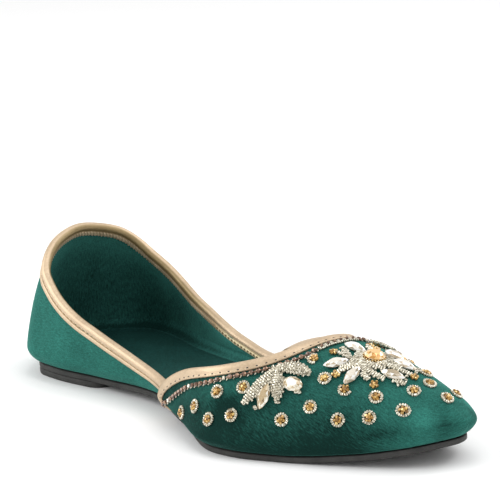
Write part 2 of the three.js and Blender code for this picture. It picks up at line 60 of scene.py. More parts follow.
HEEL_CORNER = 5.0
TOE_SPRING = 9.5
BACK_HEIGHT = 61.4
VAMP_LENGTH = 66.5
WING_LENGTH = 132.7
WING_LEAN = 4.0
INNER_WING = 1.6
THROAT_POWER = 3.35
VAMP_WALL = 1.8
QUARTER_WALL = 1.6
QUARTER_INSET = 0.9
LAP = 12.0
LAP_BLEND = 22.0
THROAT_INNER_START = 7.0
INSOLE = 2.5
CLEARANCE = 0.3
GIRTH_AT = 0.15
MM = 0.001

# Sections of the last: at, half, swing, tuck, lift, spring, girth, crown, shoulder, flank
SECTIONS = np.array([
    (0.00, 0.336, 0.00, 0.82, 1.00, 0.00, 1.00, 1.038, 2.3, 1.35),
    (0.06, 0.412, 0.00, 0.94, 1.00, 0.00, 1.00, 1.072, 2.3, 1.35),
    (0.14, 0.430, 0.00, 1.00, 1.00, 0.00, 1.00, 1.170, 2.3, 1.35),
    (0.26, 0.369, 0.00, 0.96, 1.00, 0.00, 1.00, 1.323, 2.3, 1.35),
    (0.40, 0.328, -0.07, 0.82, 1.39, 0.00, 0.89, 1.256, 2.3, 1.34),
    (0.53, 0.386, -0.33, 0.94, 0.59, 0.00, 0.72, 1.000, 2.3, 1.32),
    (0.65, 0.500, -0.30, 0.72, 0.00, 0.00, 0.64, 0.747, 2.3, 1.30),
    (0.71, 0.502, -0.12, 0.60, 0.00, 0.00, 0.65, 0.661, 2.3, 1.31),
    (0.77, 0.459, 0.15, 0.51, 0.00, 0.00, 0.67, 0.626, 2.3, 1.33),
    (0.88, 0.317, 0.48, 0.49, 0.00, 0.28, 0.74, 0.538, 2.2, 1.58),
    (0.94, 0.229, 0.71, 0.52, 0.00, 0.60, 0.79, 0.449, 2.1, 1.79),
    (1.00, 0.152, 1.00, 0.80, 0.00, 1.00, 0.82, 0.340, 2.0, 2.00),
])
TOPLINE = np.array([(0.00, 1.000), (0.11, 0.942), (0.26, 0.738), (0.52, 0.478), (1.00, 0.268), (1.30, 0.252)])


def through(xs, ys, full=False):
    """Smooth curve through rows of a table; a full curve rounds its peaks past the rows."""
    width = np.diff(xs)
    slope = np.diff(ys) / width
    lean = [slope[0]]
    for i in range(1, len(slope)):
        near = 2 * width[i] + width[i - 1]
        far = width[i] + 2 * width[i - 1]
        if full:
            lean.append((slope[i - 1] * width[i] + slope[i] * width[i - 1]) / (width[i - 1] + width[i]))
        elif slope[i - 1] * slope[i] <= 0:
            lean.append(0.0)
        else:
            lean.append((near + far) / (near / slope[i - 1] + far / slope[i]))
    lean = np.array(lean + [slope[-1]])

    def curve(x):
        at = np.clip(x, xs[0], xs[-1])
        i = np.clip(np.searchsorted(xs, at, side="left") - 1, 0, len(width) - 1)
        t = (at - xs[i]) / width[i]
        s = 1 - t
        bend = width[i] * t * s * (s * lean[i] - t * lean[i + 1])
        return s * s * (1 + 2 * t) * ys[i] + t * t * (1 + 2 * s) * ys[i + 1] + bend
    fine = np.linspace(xs[0], xs[-1], 8001)
    table = curve(fine)
    return lambda x: np.interp(x, fine, table)


def column(place, size, full=False):
    return through(SECTIONS[:, 0] * LENGTH, SECTIONS[:, place] * size, full)


half_width = column(1, BALL_WIDTH, True)
swing = column(2, -TOE_SWING)
tuck = column(3, TUCK)
lift = column(4, HEEL_LIFT)
spring = column(5, TOE_SPRING)
girth = column(6, GIRTH_RISE)
crown = column(7, INSTEP_HEIGHT, True)
shoulder = column(8, 1.0)
flank = column(9, 1.0)
WING_AT = LENGTH - WING_LENGTH
THROAT_AT = LENGTH - VAMP_LENGTH
top_height = through(TOPLINE[:, 0] * WING_AT, TOPLINE[:, 1] * BACK_HEIGHT)


def ease(value):
    t = np.clip(value, 0, 1)
    return t * t * (3 - 2 * t)


def sole_bottom(y):
    return lift(y) + spring(y)


def footing(y):
    return sole_bottom(y) + SOLE + CLEARANCE


def ray(s):
    root = np.clip(s, HEEL_ROUND, LENGTH - TOE_ROUND)
    back = np.clip((HEEL_ROUND - s) / HEEL_ROUND, 0, 1)
    front = np.clip((s - LENGTH + TOE_ROUND) / TOE_ROUND, 0, 1)
    side = half_width(s) * np.sqrt(1 - back ** 2) * np.sqrt(1 - front ** 2)
    along = s - root
    reach = np.hypot(side, along)
    return root, reach, side / reach, along / reach


def skin(s, across):
    """Outer surface of the last; across is 1 at the outer foot edge, 0 on the ridge, -1 inside."""
    s, across = np.broadcast_arrays(np.asarray(s, float), np.asarray(across, float))
    root, reach, out, fore = ray(s)
    hand = np.where(across < 0, -1.0, 1.0)
    up = 1 - np.abs(across)
    t = up / GIRTH_AT
    arm = reach - tuck(s) * (1 - t) ** 2
    y = root + arm * fore
    low = np.stack([swing(y) + hand * arm * out, y, footing(y) + girth(s) * t], -1)
    rho = np.cos(np.clip((up - GIRTH_AT) / (1 - GIRTH_AT), 0, 1) * np.pi / 2)
    base = footing(root + reach * fore) + girth(s)
    y = root + reach * rho * fore
    arch = (1 - rho ** shoulder(s)) ** (1 / flank(s))
    high = np.stack([swing(y) + hand * reach * rho * out, y, base + (crown(y) - base) * arch], -1)
    return np.where((up < GIRTH_AT)[..., None], low, high)


HEEL_QUARTER = HEEL_ROUND * math.pi / 2


def station_of(p):
    far = np.abs(p)
    fan = HEEL_ROUND * (1 - np.cos(np.minimum(far, HEEL_QUARTER) / HEEL_ROUND))
    return np.where(far < HEEL_QUARTER, fan, HEEL_ROUND + far - HEEL_QUARTER)


def round_of(s):
    fan = HEEL_ROUND * np.arccos(np.clip(1 - s / HEEL_ROUND, -1, 1))
    return np.where(s < HEEL_ROUND, fan, HEEL_QUARTER + s - HEEL_ROUND)


def vamp_chart(s, across):
    return skin(s, across)


def quarter_chart(p, up):
    return skin(station_of(p), np.where(np.asarray(p) < 0, -1, 1) * (1 - up))


def unit(v):
    return v / np.maximum(np.linalg.norm(v, axis=-1, keepdims=True), 1e-12)


def tangents(chart, u, v):
    du, dv = 0.02, 5e-4
    a = (chart(u + du, v) - chart(u - du, v)) / (2 * du)
    b = (chart(u, v + dv) - chart(u, v - dv)) / (2 * dv)
    return a, b


def normal(chart, u, v):
    a, b = tangents(chart, u, v)
    n = unit(np.cross(a, b))
    p = chart(u, v)
    root = np.clip(p[..., 1], HEEL_ROUND, LENGTH - TOE_ROUND)
    inside = np.stack([swing(root), root, footing(root) + crown(root) / 3], -1)
    flip = np.sum(n * (p - inside), -1, keepdims=True) < 0
    return np.where(flip, -n, n)


def moved(chart, u, v, direction, distance):
    """Chart place reached by going a short way over the surface."""
    a, b = tangents(chart, u, v)
    aa, bb, ab = np.sum(a * a, -1), np.sum(b * b, -1), np.sum(a * b, -1)
    ad, bd = np.sum(a * direction, -1) * distance, np.sum(b * direction, -1) * distance
    det = aa * bb - ab * ab
    return u + (ad * bb - bd * ab) / det, v + (bd * aa - ad * ab) / det


def stepped(chart, u, v, direction, distance, height):
    u, v = moved(chart, u, v, direction, distance)
    return chart(u, v) + normal(chart, u, v) * np.asarray(height)[..., None]


def throat(across):
    up = 1 - np.abs(across)
    wing = WING_AT + np.where(np.asarray(across) < 0, INNER_WING, 0.0)
    low = wing + WING_LEAN * (1 - np.minimum(up / GIRTH_AT, 1)) ** 2
    rho = np.cos(np.clip((up - GIRTH_AT) / (1 - GIRTH_AT), 0, 1) * np.pi / 2)
    return np.where(up < GIRTH_AT, low, THROAT_AT - (THROAT_AT - wing) * rho ** THROAT_POWER)


def top_up(s, hand):
    low = np.full(np.shape(s), GIRTH_AT)
    high = np.ones(np.shape(s))
    for _ in range(30):
        middle = (low + high) / 2
        under = skin(s, hand * (1 - middle))[..., 2] < top_height(s)
        low, high = np.where(under, middle, low), np.where(under, high, middle)
    return low


def dip(s):
    return QUARTER_INSET * ease((s - (WING_AT - LAP_BLEND)) / LAP_BLEND)


# Mesh making
heel_low, heel_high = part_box("heel_lift")
SHIFT = np.array([(heel_low.x + heel_high.x) / 2 / MM, -LENGTH / 2, 0.0])


def grid_quads(rows, columns, closed=False):
    i, j = np.meshgrid(np.arange(rows - 1), np.arange(columns if closed else columns - 1), indexing="ij")
    k = (j + 1) % columns
    corners = [i * columns + j, (i + 1) * columns + j, (i + 1) * columns + k, i * columns + k]
    return np.stack(corners, -1).reshape(-1, 4)


def mesh_object(name, points, faces, materials, slots=None, smooth=True, uv=None, painted_tones=None, tidy=True,
                brushed=None):
    """Object from points in shoe millimetres; welded, with its faces turned outwards."""
    mesh = bpy.data.meshes.new(name)
    mesh.from_pydata(((np.asarray(points) + SHIFT) * MM).tolist(), [], [list(map(int, f)) for f in faces])
    for material in materials:
        mesh.materials.append(material)
    if slots is not None:
        mesh.polygons.foreach_set("material_index", np.asarray(slots, np.int32))
    if uv is not None:
        layer = mesh.uv_layers.new(name="nap")
        corner = np.zeros(len(mesh.loops), np.int32)
        mesh.loops.foreach_get("vertex_index", corner)
        layer.data.foreach_set("uv", np.asarray(uv, np.float32)[corner].ravel())
    # Per-point painted shading (painted light and shade) and per-face painted tones (painted reflections of
    # facets)
    if brushed is not None:
        attribute = mesh.attributes.new("brushed", "FLOAT", "POINT")
        attribute.data.foreach_set("value", np.asarray(brushed, np.float32).ravel())
    if painted_tones is not None:
        attribute = mesh.attributes.new("tone", "FLOAT", "FACE")
        attribute.data.foreach_set("value", np.asarray(painted_tones, np.float32))
    if tidy:
        work = bmesh.new()
        work.from_mesh(mesh)
        bmesh.ops.remove_doubles(work, verts=work.verts, dist=2e-6)
        bmesh.ops.recalc_face_normals(work, faces=work.faces)
        work.to_mesh(mesh)
        work.free()
    mesh.polygons.foreach_set("use_smooth", np.full(len(mesh.polygons), smooth))
    mesh.update()
    made = bpy.data.objects.new(name, mesh)
    bpy.context.scene.collection.objects.link(made)
    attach(made, "root")
    return made


def grid_normals(points):
    """Outward normals of a grid of points, rows by columns."""
    a = np.gradient(points, axis=0)
    b = np.gradient(points, axis=1)
    return unit(np.cross(a, b))


# Node helpers
def new_material(name):
    made = bpy.data.materials.new(name)
    made.use_nodes = True
    tree = made.node_tree
    return made, tree, tree.nodes["Principled BSDF"]


def add(tree, kind, inputs=(), **settings):
    node = tree.nodes.new(kind)
    for key, value in settings.items():
        setattr(node, key, value)
    for key, value in dict(inputs).items():
        if isinstance(value, bpy.types.NodeSocket):
            tree.links.new(value, node.inputs[key])
        else:
            node.inputs[key].default_value = value
    return node


def ramp(tree, factor, stops):
    node = add(tree, "ShaderNodeValToRGB", {"Fac": factor})
    while len(node.color_ramp.elements) < len(stops):
        node.color_ramp.elements.new(0.5)
    for element, (place, color) in zip(node.color_ramp.elements, stops):
        element.position = place
        element.color = (*color, 1)
    return node.outputs["Color"]


def mixed(tree, kind, factor, a, b):
    node = add(tree, "ShaderNodeMix", data_type="RGBA", blend_type=kind)
    for socket, value in ((node.inputs[0], factor), (node.inputs[6], a), (node.inputs[7], b)):
        if isinstance(value, bpy.types.NodeSocket):
            tree.links.new(value, socket)
        elif isinstance(value, tuple):
            socket.default_value = (*value, 1)
        else:
            socket.default_value = value
    return node.outputs[2]


def noise(tree, place, scale, detail, **more):
    values = {"Vector": place, "Scale": scale, "Detail": detail, **more}
    return add(tree, "ShaderNodeTexNoise", values).outputs["Fac"]


def scaled(tree, value, factor, plus):
    return add(tree, "ShaderNodeMath", {0: value, 1: factor, 2: plus}, operation="MULTIPLY_ADD").outputs[0]


def bumped(tree, height, strength, distance, **more):
    values = {"Height": height, "Strength": strength, "Distance": distance, **more}
    return add(tree, "ShaderNodeBump", values).outputs[0]


def mesh_value(tree, name):
    return add(tree, "ShaderNodeAttribute", attribute_name=name).outputs["Fac"]


def grey(value):
    return value, value, value


def velvet_material(name, dark, light, sheen, tint, turn, stroke):
    """Cut pile: deep where one looks into it, with short strokes; its painted shading value paints light and
    shade, from the dark colour to the light one.
    """
    made, tree, shader = new_material(name)
    place = add(tree, "ShaderNodeTexCoord").outputs["Object"]
    nap = add(tree, "ShaderNodeUVMap", uv_map="nap").outputs["UV"]
    lean = add(tree, "ShaderNodeMapping", {"Vector": nap, "Rotation": (0, 0, turn), "Scale": (*stroke, 1)})
    patches = noise(tree, place, 48.0, 4.0, Roughness=0.6)
    strokes = noise(tree, lean.outputs[0], 1.0, 4.0, Roughness=0.7)
    pile = noise(tree, place, 1900.0, 2.0)
    # Painted light and shade: the painted shading value sets the pile between dark and light, with random
    # patches and strokes added
    total = scaled(tree, patches, 0.65, mesh_value(tree, "brushed"))
    total = scaled(tree, strokes, 1.25, total)
    total = scaled(tree, total, 1.0, -0.95)
    body = ramp(tree, total, [(0.0, dark), (1.0, light)])
    fleck = ramp(tree, pile, [(0.3, grey(0.66)), (0.7, grey(1.3))])
    tree.links.new(mixed(tree, "MULTIPLY", 0.8, body, fleck), shader.inputs["Base Color"])
    shader.inputs["Roughness"].default_value = 0.9
    shader.inputs["Specular IOR Level"].default_value = 0.1
    shader.inputs["Sheen Weight"].default_value = sheen
    shader.inputs["Sheen Roughness"].default_value = 0.3
    shader.inputs["Sheen Tint"].default_value = (*tint, 1)
    height = scaled(tree, strokes, 0.65, scaled(tree, pile, 0.35, 0.0))
    tree.links.new(bumped(tree, height, 0.6, 0.0006), shader.inputs["Normal"])
    return made


def leather_material(name, color, shade, metallic):
    """Soft pale leather with a fine grain; its painted shading value above 0 paints shade, below 0 paints
    light.
    """
    made, tree, shader = new_material(name)
    place = add(tree, "ShaderNodeTexCoord").outputs["Object"]
    cloud = noise(tree, place, 90.0, 4.0)
    grain = add(tree, "ShaderNodeTexVoronoi", {"Vector": place, "Scale": 1900.0})
    fine = noise(tree, place, 900.0, 3.0)
    body = ramp(tree, cloud, [(0.3, shade), (0.62, color)])
    level = scaled(tree, mesh_value(tree, "brushed"), 0.5, 0.5)
    # Painted shade darkens the leather towards olive, painted light brightens it
    painted_shade_light = ramp(tree, level, [(0.0, (2.1, 2.15, 2.1)), (0.5, grey(1)), (1.0, (0.50, 0.48, 0.34))])
    body = mixed(tree, "MULTIPLY", 1.0, body, painted_shade_light)
    worn = ramp(tree, fine, [(0.35, (0.88, 0.86, 0.83)), (0.6, grey(1.03))])
    tree.links.new(mixed(tree, "MULTIPLY", 0.8, body, worn), shader.inputs["Base Color"])
    tree.links.new(ramp(tree, fine, [(0.3, grey(0.34)), (0.7, grey(0.5))]), shader.inputs["Roughness"])
    shader.inputs["Metallic"].default_value = metallic
    shader.inputs["Specular IOR Level"].default_value = 0.5
    pores = bumped(tree, grain.outputs["Distance"], 0.22, 0.0002)
    tree.links.new(bumped(tree, cloud, 0.25, 0.0008, Normal=pores), shader.inputs["Normal"])
    return made


def rubber_material(name):
    made, tree, shader = new_material(name)
    place = add(tree, "ShaderNodeTexCoord").outputs["Object"]
    cloud = noise(tree, place, 140.0, 5.0)
    grit = noise(tree, place, 2200.0, 2.0)
    body = ramp(tree, cloud, [(0.3, (0.03, 0.03, 0.029)), (0.7, (0.056, 0.055, 0.052))])
    dust = ramp(tree, grit, [(0.35, grey(0.8)), (0.7, (1.25, 1.23, 1.2))])
    tree.links.new(mixed(tree, "MULTIPLY", 0.7, body, dust), shader.inputs["Base Color"])
    shader.inputs["Roughness"].default_value = 0.72
    shader.inputs["Specular IOR Level"].default_value = 0.35
    tree.links.new(bumped(tree, grit, 0.35, 0.0003), shader.inputs["Normal"])
    return made


def gem_material(name, stops, roughness, metallic):
    """Foil-backed stone or lined bead: each facet takes a random place on a ramp of painted reflection, from
    painted shade to painted highlight.
    """
    made, tree, shader = new_material(name)
    place = add(tree, "ShaderNodeTexCoord").outputs["Object"]
    # Painted reflections and highlights: each facet's tone picks its place on the ramp
    spread = scaled(tree, noise(tree, place, 1500.0, 2.0), 0.3, mesh_value(tree, "tone"))
    centred = scaled(tree, spread, 1.0, -0.15)
    tree.links.new(ramp(tree, centred, stops), shader.inputs["Base Color"])
    shader.inputs["Roughness"].default_value = roughness
    shader.inputs["Metallic"].default_value = metallic
    shader.inputs["Coat Weight"].default_value = 1.0
    shader.inputs["Coat Roughness"].default_value = 0.03
    return made


# Dark and light ends of each velvet: most of the span between them is painted shade and painted light. The
# insole velvet is darker, painted shade deep inside the shoe
VELVET = velvet_material("velvet_outer", (0.003, 0.024, 0.019), (0.036, 0.205, 0.165),
                         0.22, (0.25, 0.85, 0.72), 0.9, (0.45, 1.7))
LINING = velvet_material("velvet_lining", (0.005, 0.032, 0.027), (0.050, 0.235, 0.200),
                         0.3, (0.25, 0.80, 0.70), 0.15, (1.7, 0.4))
INSOLE_VELVET = velvet_material("velvet_insole", (0.003, 0.024, 0.021), (0.020, 0.110, 0.098),
                                0.2, (0.2, 0.75, 0.65), 0.6, (0.4, 1.5))
LEATHER = leather_material("binding_gold_leather", (0.62, 0.475, 0.32), (0.53, 0.40, 0.265), 0.42)
RUBBER = rubber_material("sole_rubber")
THREAD = leather_material("stitch_thread", (0.66, 0.54, 0.37), (0.46, 0.36, 0.23), 0.3)
HOLE = rubber_material("needle_hole_shadow")
# Painted shadow in the collar's needle holes: small dark marks in a darker leather colour
OLIVE_HOLE_SHADOW = leather_material("needle_hole_shadow_leather", (0.20, 0.155, 0.07), (0.13, 0.10, 0.045), 0.2)
# Ramps of the beads and stones: dark stops are painted shade and dark reflections, pale and white stops
# painted highlights
SILVER = gem_material("silver_beads", [
    (0.0, (0.17, 0.14, 0.085)), (0.45, (0.52, 0.47, 0.345)), (1.0, (0.96, 0.92, 0.78))], 0.22, 0.45)
COPPER = gem_material("copper_beads", [
    (0.0, (0.05, 0.018, 0.008)), (0.5, (0.17, 0.085, 0.046)), (1.0, (0.42, 0.25, 0.15))], 0.22, 0.4)
AMBER = gem_material("amber_beads", [
    (0.0, (0.10, 0.040, 0.004)), (0.45, (0.44, 0.22, 0.030)), (1.0, (0.82, 0.58, 0.20))], 0.1, 0.4)
AMBER_STONE = gem_material("amber_cut_stone", [
    (0.0, (0.20, 0.07, 0.008)), (0.35, (0.66, 0.31, 0.05)), (0.7, (0.95, 0.62, 0.24)),
    (1.0, (1.0, 0.90, 0.66))], 0.05, 0.3)
CRYSTAL = gem_material("crystal_cut_stone", [
    (0.0, (0.16, 0.14, 0.10)), (0.25, (0.56, 0.44, 0.28)), (0.5, (0.82, 0.77, 0.68)),
    (0.8, (1.0, 1.0, 0.98))], 0.04, 0.2)
CHAMPAGNE = gem_material("champagne_cut_stone", [
    (0.0, (0.16, 0.09, 0.03)), (0.35, (0.44, 0.31, 0.15)), (0.65, (0.70, 0.60, 0.42)),
    (1.0, (1.0, 0.97, 0.88))], 0.04, 0.2)


# Upper
LAP_SHARE = 0.986
LOW_ROWS = 7
ARCH_ROWS = 60
low_part = 1 - GIRTH_AT * np.arange(LOW_ROWS) / LOW_ROWS
arch_part = (1 - GIRTH_AT) * (1 - np.arange(ARCH_ROWS + 1) / ARCH_ROWS)
half_across = np.concatenate([low_part, arch_part])
ACROSS = np.concatenate([half_across, -half_across[-2::-1]])


def fold(s, across, start, end, width, height):
    """A soft ridge or trough between two places, width in shares of the upper's half girth."""
    a = np.array([start[0] * 2.2, start[1]])
    b = np.array([end[0] * 2.2, end[1]])
    place = np.stack([s / LENGTH * 2.2, across], -1)
    run = b - a
    t = np.clip(np.sum((place - a) * run, -1) / np.sum(run * run), 0, 1)
    off = np.linalg.norm(place - (a + t[..., None] * run), axis=-1)
    return height * np.exp(-(off / width) ** 2) * np.sin(np.pi * np.clip(t * 0.9 + 0.05, 0, 1)) ** 0.5


def furrow(s, across, start, end, width, height):
    """A soft ridge or trough along a straight line in space between two places of the upper."""
    a, b = (skin(np.array(at * LENGTH), np.array(e)) for at, e in (start, end))
    place = skin(s, across)
    run = b - a
    t = np.clip(np.sum((place - a) * run, -1) / np.sum(run * run), 0, 1)
    off = np.linalg.norm(place - (a + t[..., None] * run), axis=-1)
    return height * np.exp(-(off / width) ** 2) * np.sin(np.pi * np.clip(t * 0.8 + 0.1, 0, 1)) ** 0.5


# Folds of the vamp: from place, to place, width, height; a place is (share of LENGTH, across)
CREASES = [
    ((0.60, 0.80), (0.70, 0.55), 0.07, -0.55),
    ((0.64, 0.92), (0.76, 0.72), 0.06, 0.40),
    ((0.90, 0.62), (0.97, 0.20), 0.06, -0.45),
    ((0.93, 0.80), (0.985, 0.45), 0.05, -0.40),
    ((0.680, 0.62), (0.702, 0.52), 0.035, -0.5),
    ((0.60, -0.80), (0.70, -0.55), 0.07, -0.5),
    ((0.90, -0.62), (0.97, -0.2), 0.06, -0.4),
]
TOE_DENTS = [
    ((0.989, 0.46), (0.988, 0.94), 4.2, -1.3),
    ((0.970, 0.50), (0.974, 0.88), 3.8, 0.5),
    ((0.940, 0.66), (0.950, 0.92), 4.0, -0.4),
]
# Spots of painted shade in the dents and painted light on the toe's ridge and top: tone, share of LENGTH and
# its spread, side and its spread
VAMP_SPOTS = [
    (-0.34, 0.690, 0.024, 0.60, 0.09),
    (0.34, 0.966, 0.020, 0.56, 0.18),
    (0.20, 0.900, 0.040, 0.28, 0.16),
    (-0.42, 0.988, 0.009, 0.74, 0.26),
    (-0.36, 0.925, 0.030, 0.76, 0.13),
]
# Dents of the quarter: height, station and its spread, share of the girth and its spread
QUARTER_DENTS = [(-0.8, 88, 15, 0.22, 0.10), (-0.5, 30, 10, 0.32, 0.08), (0.4, 62, 14, 0.30, 0.10)]


def spots(rows, u, v):
    """Sum of round soft spots over a surface."""
    return sum(tone * np.exp(-((u - at) / wide) ** 2 - ((v - side) / high) ** 2)
               for tone, at, wide, side, high in rows)


def relief(s, across):
    """How far the velvet stands off the plain last, from its folds and the dents in the toe."""
    up = 1 - np.abs(across)
    soft = ease((s - throat(across)) / 14.0) * ease(up / 0.12)
    toe = sum(furrow(s, across, *row) for row in TOE_DENTS)
    folds = sum(fold(s, across, *row) for row in CREASES)
    return folds * soft * ease((LENGTH - s) / 5.0) + toe * ease(up / 0.08)


def shell(name, points, normals, depth, uv, brushed, brushed_inside):
    """Closed velvet shell from an outer grid of points, lined on its inner side, depth below."""
    rows, columns = points.shape[:2]
    inner = points - normals * depth[..., None]
    flat = np.concatenate([points.reshape(-1, 3), inner.reshape(-1, 3)])
    face = grid_quads(rows, columns)
    size = rows * columns
    edge = np.concatenate([np.arange(columns), np.arange(1, rows) * columns + columns - 1,
                           (rows - 1) * columns + np.arange(columns - 2, -1, -1),
                           np.arange(rows - 2, 0, -1) * columns])
    after = np.roll(edge, -1)
    rim = np.stack([edge, after, after + size, edge + size], -1)
    faces = np.concatenate([face, face[:, ::-1] + size, rim])
    slots = np.concatenate([np.zeros(len(face)), np.ones(len(face)), np.zeros(len(rim))])
    maps = np.concatenate([uv.reshape(-1, 2)] * 2)
    return mesh_object(name, flat, faces, [VELVET, LINING], slots, uv=maps,
                       brushed=np.concatenate([brushed.ravel(), brushed_inside.ravel()]))


def make_vamp():
    front = LENGTH - TOE_ROUND
    along = np.linspace(0, 1, 96)
    fan = front + TOE_ROUND * np.sin(np.linspace(0, 1, 26)[1:] * np.pi / 2)
    edge = throat(ACROSS)
    s = edge[None] + (front - edge)[None] * along[:, None]
    s = np.concatenate([s, np.repeat(fan[:, None], len(ACROSS), 1)])
    across = np.broadcast_to(ACROSS, s.shape)
    points = skin(s, across)
    normals = grid_normals(points)
    inside = np.stack([swing(points[..., 1]), np.clip(points[..., 1], 28, front), np.full(s.shape, 12.0)], -1)
    normals = np.where(np.sum(normals * (points - inside), -1, keepdims=True) < 0, -normals, normals)
    up = 1 - np.abs(across)
    curl = -0.35 * np.clip(1 - up / 0.035, 0, 1) ** 2
    normals[-1] = unit(normals[-1] + normals[-1][::-1])
    points = points + normals * (curl + relief(s, across))[..., None]
    lap = 1 - ease((s - edge[None] - LAP) / 6.0)
    depth = VAMP_WALL - (VAMP_WALL - QUARTER_INSET + 0.12) * LAP_SHARE * lap
    arc = np.concatenate([np.zeros((s.shape[0], 1)),
                          np.cumsum(np.linalg.norm(np.diff(points, axis=1), axis=-1), 1)], 1)
    arc = arc - arc[:, [len(ACROSS) // 2]]
    side = np.abs(across)
    at = s / LENGTH
    toe = ease((at - 0.86) / 0.1)
    # Painted light and shade on the vamp: darker down the sides and darker again by the sole, painted light
    # on the toe and in a band just in front of the throat binding, and painted spots
    brushed = 0.36 - 0.40 * ease((side - 0.38) / 0.45) * (1 - toe) + 0.26 * toe
    brushed += 0.12 * ease((0.16 - np.abs(s - edge[None] - 16) / 60) / 0.1)
    brushed -= 0.16 * ease((side - 0.84) / 0.14) * (1 - toe)
    brushed += spots(VAMP_SPOTS, at, side)
    inside = np.full(s.shape, 0.2)
    return shell("vamp_velvet", points, normals, depth, np.stack([s, arc], -1), brushed, inside)


def up_at(p, level):
    s = station_of(p)
    share = 0.28
    top = top_up(s, np.where(p < 0, -1.0, 1.0))
    return np.where(level < share, GIRTH_AT * level / share,
                    GIRTH_AT + (top - GIRTH_AT) * (level - share) / (1 - share))


def quarter_end(level, hand):
    s = np.full(level.shape, WING_AT + LAP)
    for _ in range(12):
        s = throat(1 - up_at(hand * round_of(s), level)) + LAP
    return round_of(s)


def make_quarter():
    levels = np.linspace(0, 1, 44)
    ends = {hand: quarter_end(levels, hand) for hand in (-1, 1)}
    share = np.linspace(-1, 1, 321)
    p = np.where(share[None] < 0, share[None] * ends[-1][:, None], share[None] * ends[1][:, None])
    level = np.broadcast_to(levels[:, None], p.shape)
    up = up_at(p, level)
    points = quarter_chart(p, up)
    normals = normal(quarter_chart, p, up)
    s = station_of(p)
    depth = dip(s)
    curl = 0.35 * np.clip(1 - up / 0.035, 0, 1) ** 2
    free = ease(level / 0.4) * ease((1 - level) / 0.3)
    slack = 0.35 * np.sin(p / 17.0 + 1.3) * np.sin(p / 29.0 + level * 2.0) * free
    slack += spots(QUARTER_DENTS, s, up)
    points = points + normals * (slack - depth - curl)[..., None]
    arc = np.concatenate([np.zeros((1, p.shape[1])),
                          np.cumsum(np.linalg.norm(np.diff(points, axis=0), axis=-1), 0)])
    wall = np.full(p.shape, QUARTER_WALL)
    # Painted light on the outside of the quarter, fading towards the front, with a faint wave; on the lining,
    # painted shade at the heel and low down with a dark line near the insole, painted light towards the wings
    # and near the top
    brushed = 0.62 - 0.10 * ease((s - 80) / 40) + 0.05 * np.sin(p / 21.0) * np.sin(level * 5.0)
    inside = 0.27 + 0.46 * ease((s - 36) / 56) + 0.42 * ease((level - 0.62) / 0.34)
    inside -= 0.10 * ease((0.35 - level) / 0.3) + 0.30 * np.exp(-((level - 0.10) / 0.05) ** 2)
    return shell("quarter_velvet", points, normals, wall, np.stack([p, arc], -1), brushed, inside)


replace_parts(make_vamp(), "upper")
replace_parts(make_quarter(), "upper")


# Bindings: a section of (distance from the edge, height off the skin) swept along it
def rounded(section, count):
    """Smooth closed loop of count points through a section's corners."""
    loop = np.array(section, float)
    steps = np.linalg.norm(np.roll(loop, -1, 0) - loop, axis=1)
    at = np.concatenate([[0], np.cumsum(steps)])
    dense = []
    size = len(loop)
    for i in range(size):
        a, b, c, d = (loop[(i + k) % size] for k in (-1, 0, 1, 2))
        for t in np.linspace(0, 1, 12, endpoint=False):
            dense.append(0.5 * (2 * b + (c - a) * t + (2 * a - 5 * b + 4 * c - d) * t * t
                                + (3 * b - a - 3 * c + d) * t ** 3))
    dense = np.array(dense)
    gaps = np.linalg.norm(np.roll(dense, -1, 0) - dense, axis=1)
    at = np.concatenate([[0], np.cumsum(gaps)])
    wanted = np.linspace(0, at[-1], count, endpoint=False)
    wrapped = np.vstack([dense, dense[:1]])
    return np.stack([np.interp(wanted, at, wrapped[:, k]) for k in (0, 1)], -1)


COLLAR_SECTION = [
    (4.6, 0.10), (4.72, 0.45), (4.4, 0.84), (3.7, 0.95), (3.0, 0.90), (2.66, 0.50), (2.5, 0.12),
    (2.3, 0.50), (1.85, 1.20), (1.0, 1.60), (0.1, 1.56), (-0.75, 1.12), (-1.22, 0.4), (-1.36, -0.5),
    (-1.2, -1.4), (-0.75, -2.15), (-0.1, -2.55), (0.6, -2.64), (1.1, -2.42), (1.5, -2.35), (2.2, -2.65),
    (3.1, -2.72), (3.75, -2.62), (3.98, -2.4), (3.8, -2.1), (3.0, -2.0), (1.8, -1.98), (0.6, -1.93),
    (-0.35, -1.6), (-0.6, -0.8), (-0.4, -0.15), (0.4, 0.10), (2.4, 0.10),
]
THROAT_SECTION = [
    (3.45, 0.10), (3.56, 0.42), (3.35, 0.84), (2.95, 0.98), (2.55, 0.84), (2.15, 0.98), (1.6, 1.16),
    (0.7, 1.30), (-0.1, 1.26), (-0.75, 1.03), (-1.14, 0.48), (-1.24, -0.3), (-1.24, -1.2), (-1.18, -2.2),
    (-0.95, -2.9), (-0.3, -3.25), (1.0, -3.3), (2.6, -3.28), (3.0, -3.0), (2.9, -2.55), (1.4, -2.45),
    (0.1, -2.4), (-0.45, -2.0), (-0.55, -1.2), (-0.5, -0.3), (-0.3, 0.08), (0.8, 0.10), (2.2, 0.10),
]


def swept(name, points, **more):
    """Binding from a grid of points, one closed section per row, with both its ends closed."""
    rows, count = points.shape[:2]
    faces = grid_quads(rows, count, closed=True).tolist()
    faces.append(list(range(count)))
    faces.append(list(range((rows - 1) * count, rows * count))[::-1])
    return mesh_object(name, points.reshape(-1, 3), faces, [LEATHER], **more)


def collar_line(p):
    hand = np.where(p < 0, -1.0, 1.0)
    up = top_up(station_of(p), hand)

    def edge_at(q):
        return quarter_chart(q, top_up(station_of(q), np.where(q < 0, -1.0, 1.0)))
    edge = unit(edge_at(p + 0.05) - edge_at(p - 0.05))
    out = normal(quarter_chart, p, up)
    down = unit(np.cross(out, edge))
    down = np.where(down[..., 2:] > 0, -down, down)
    return up, down


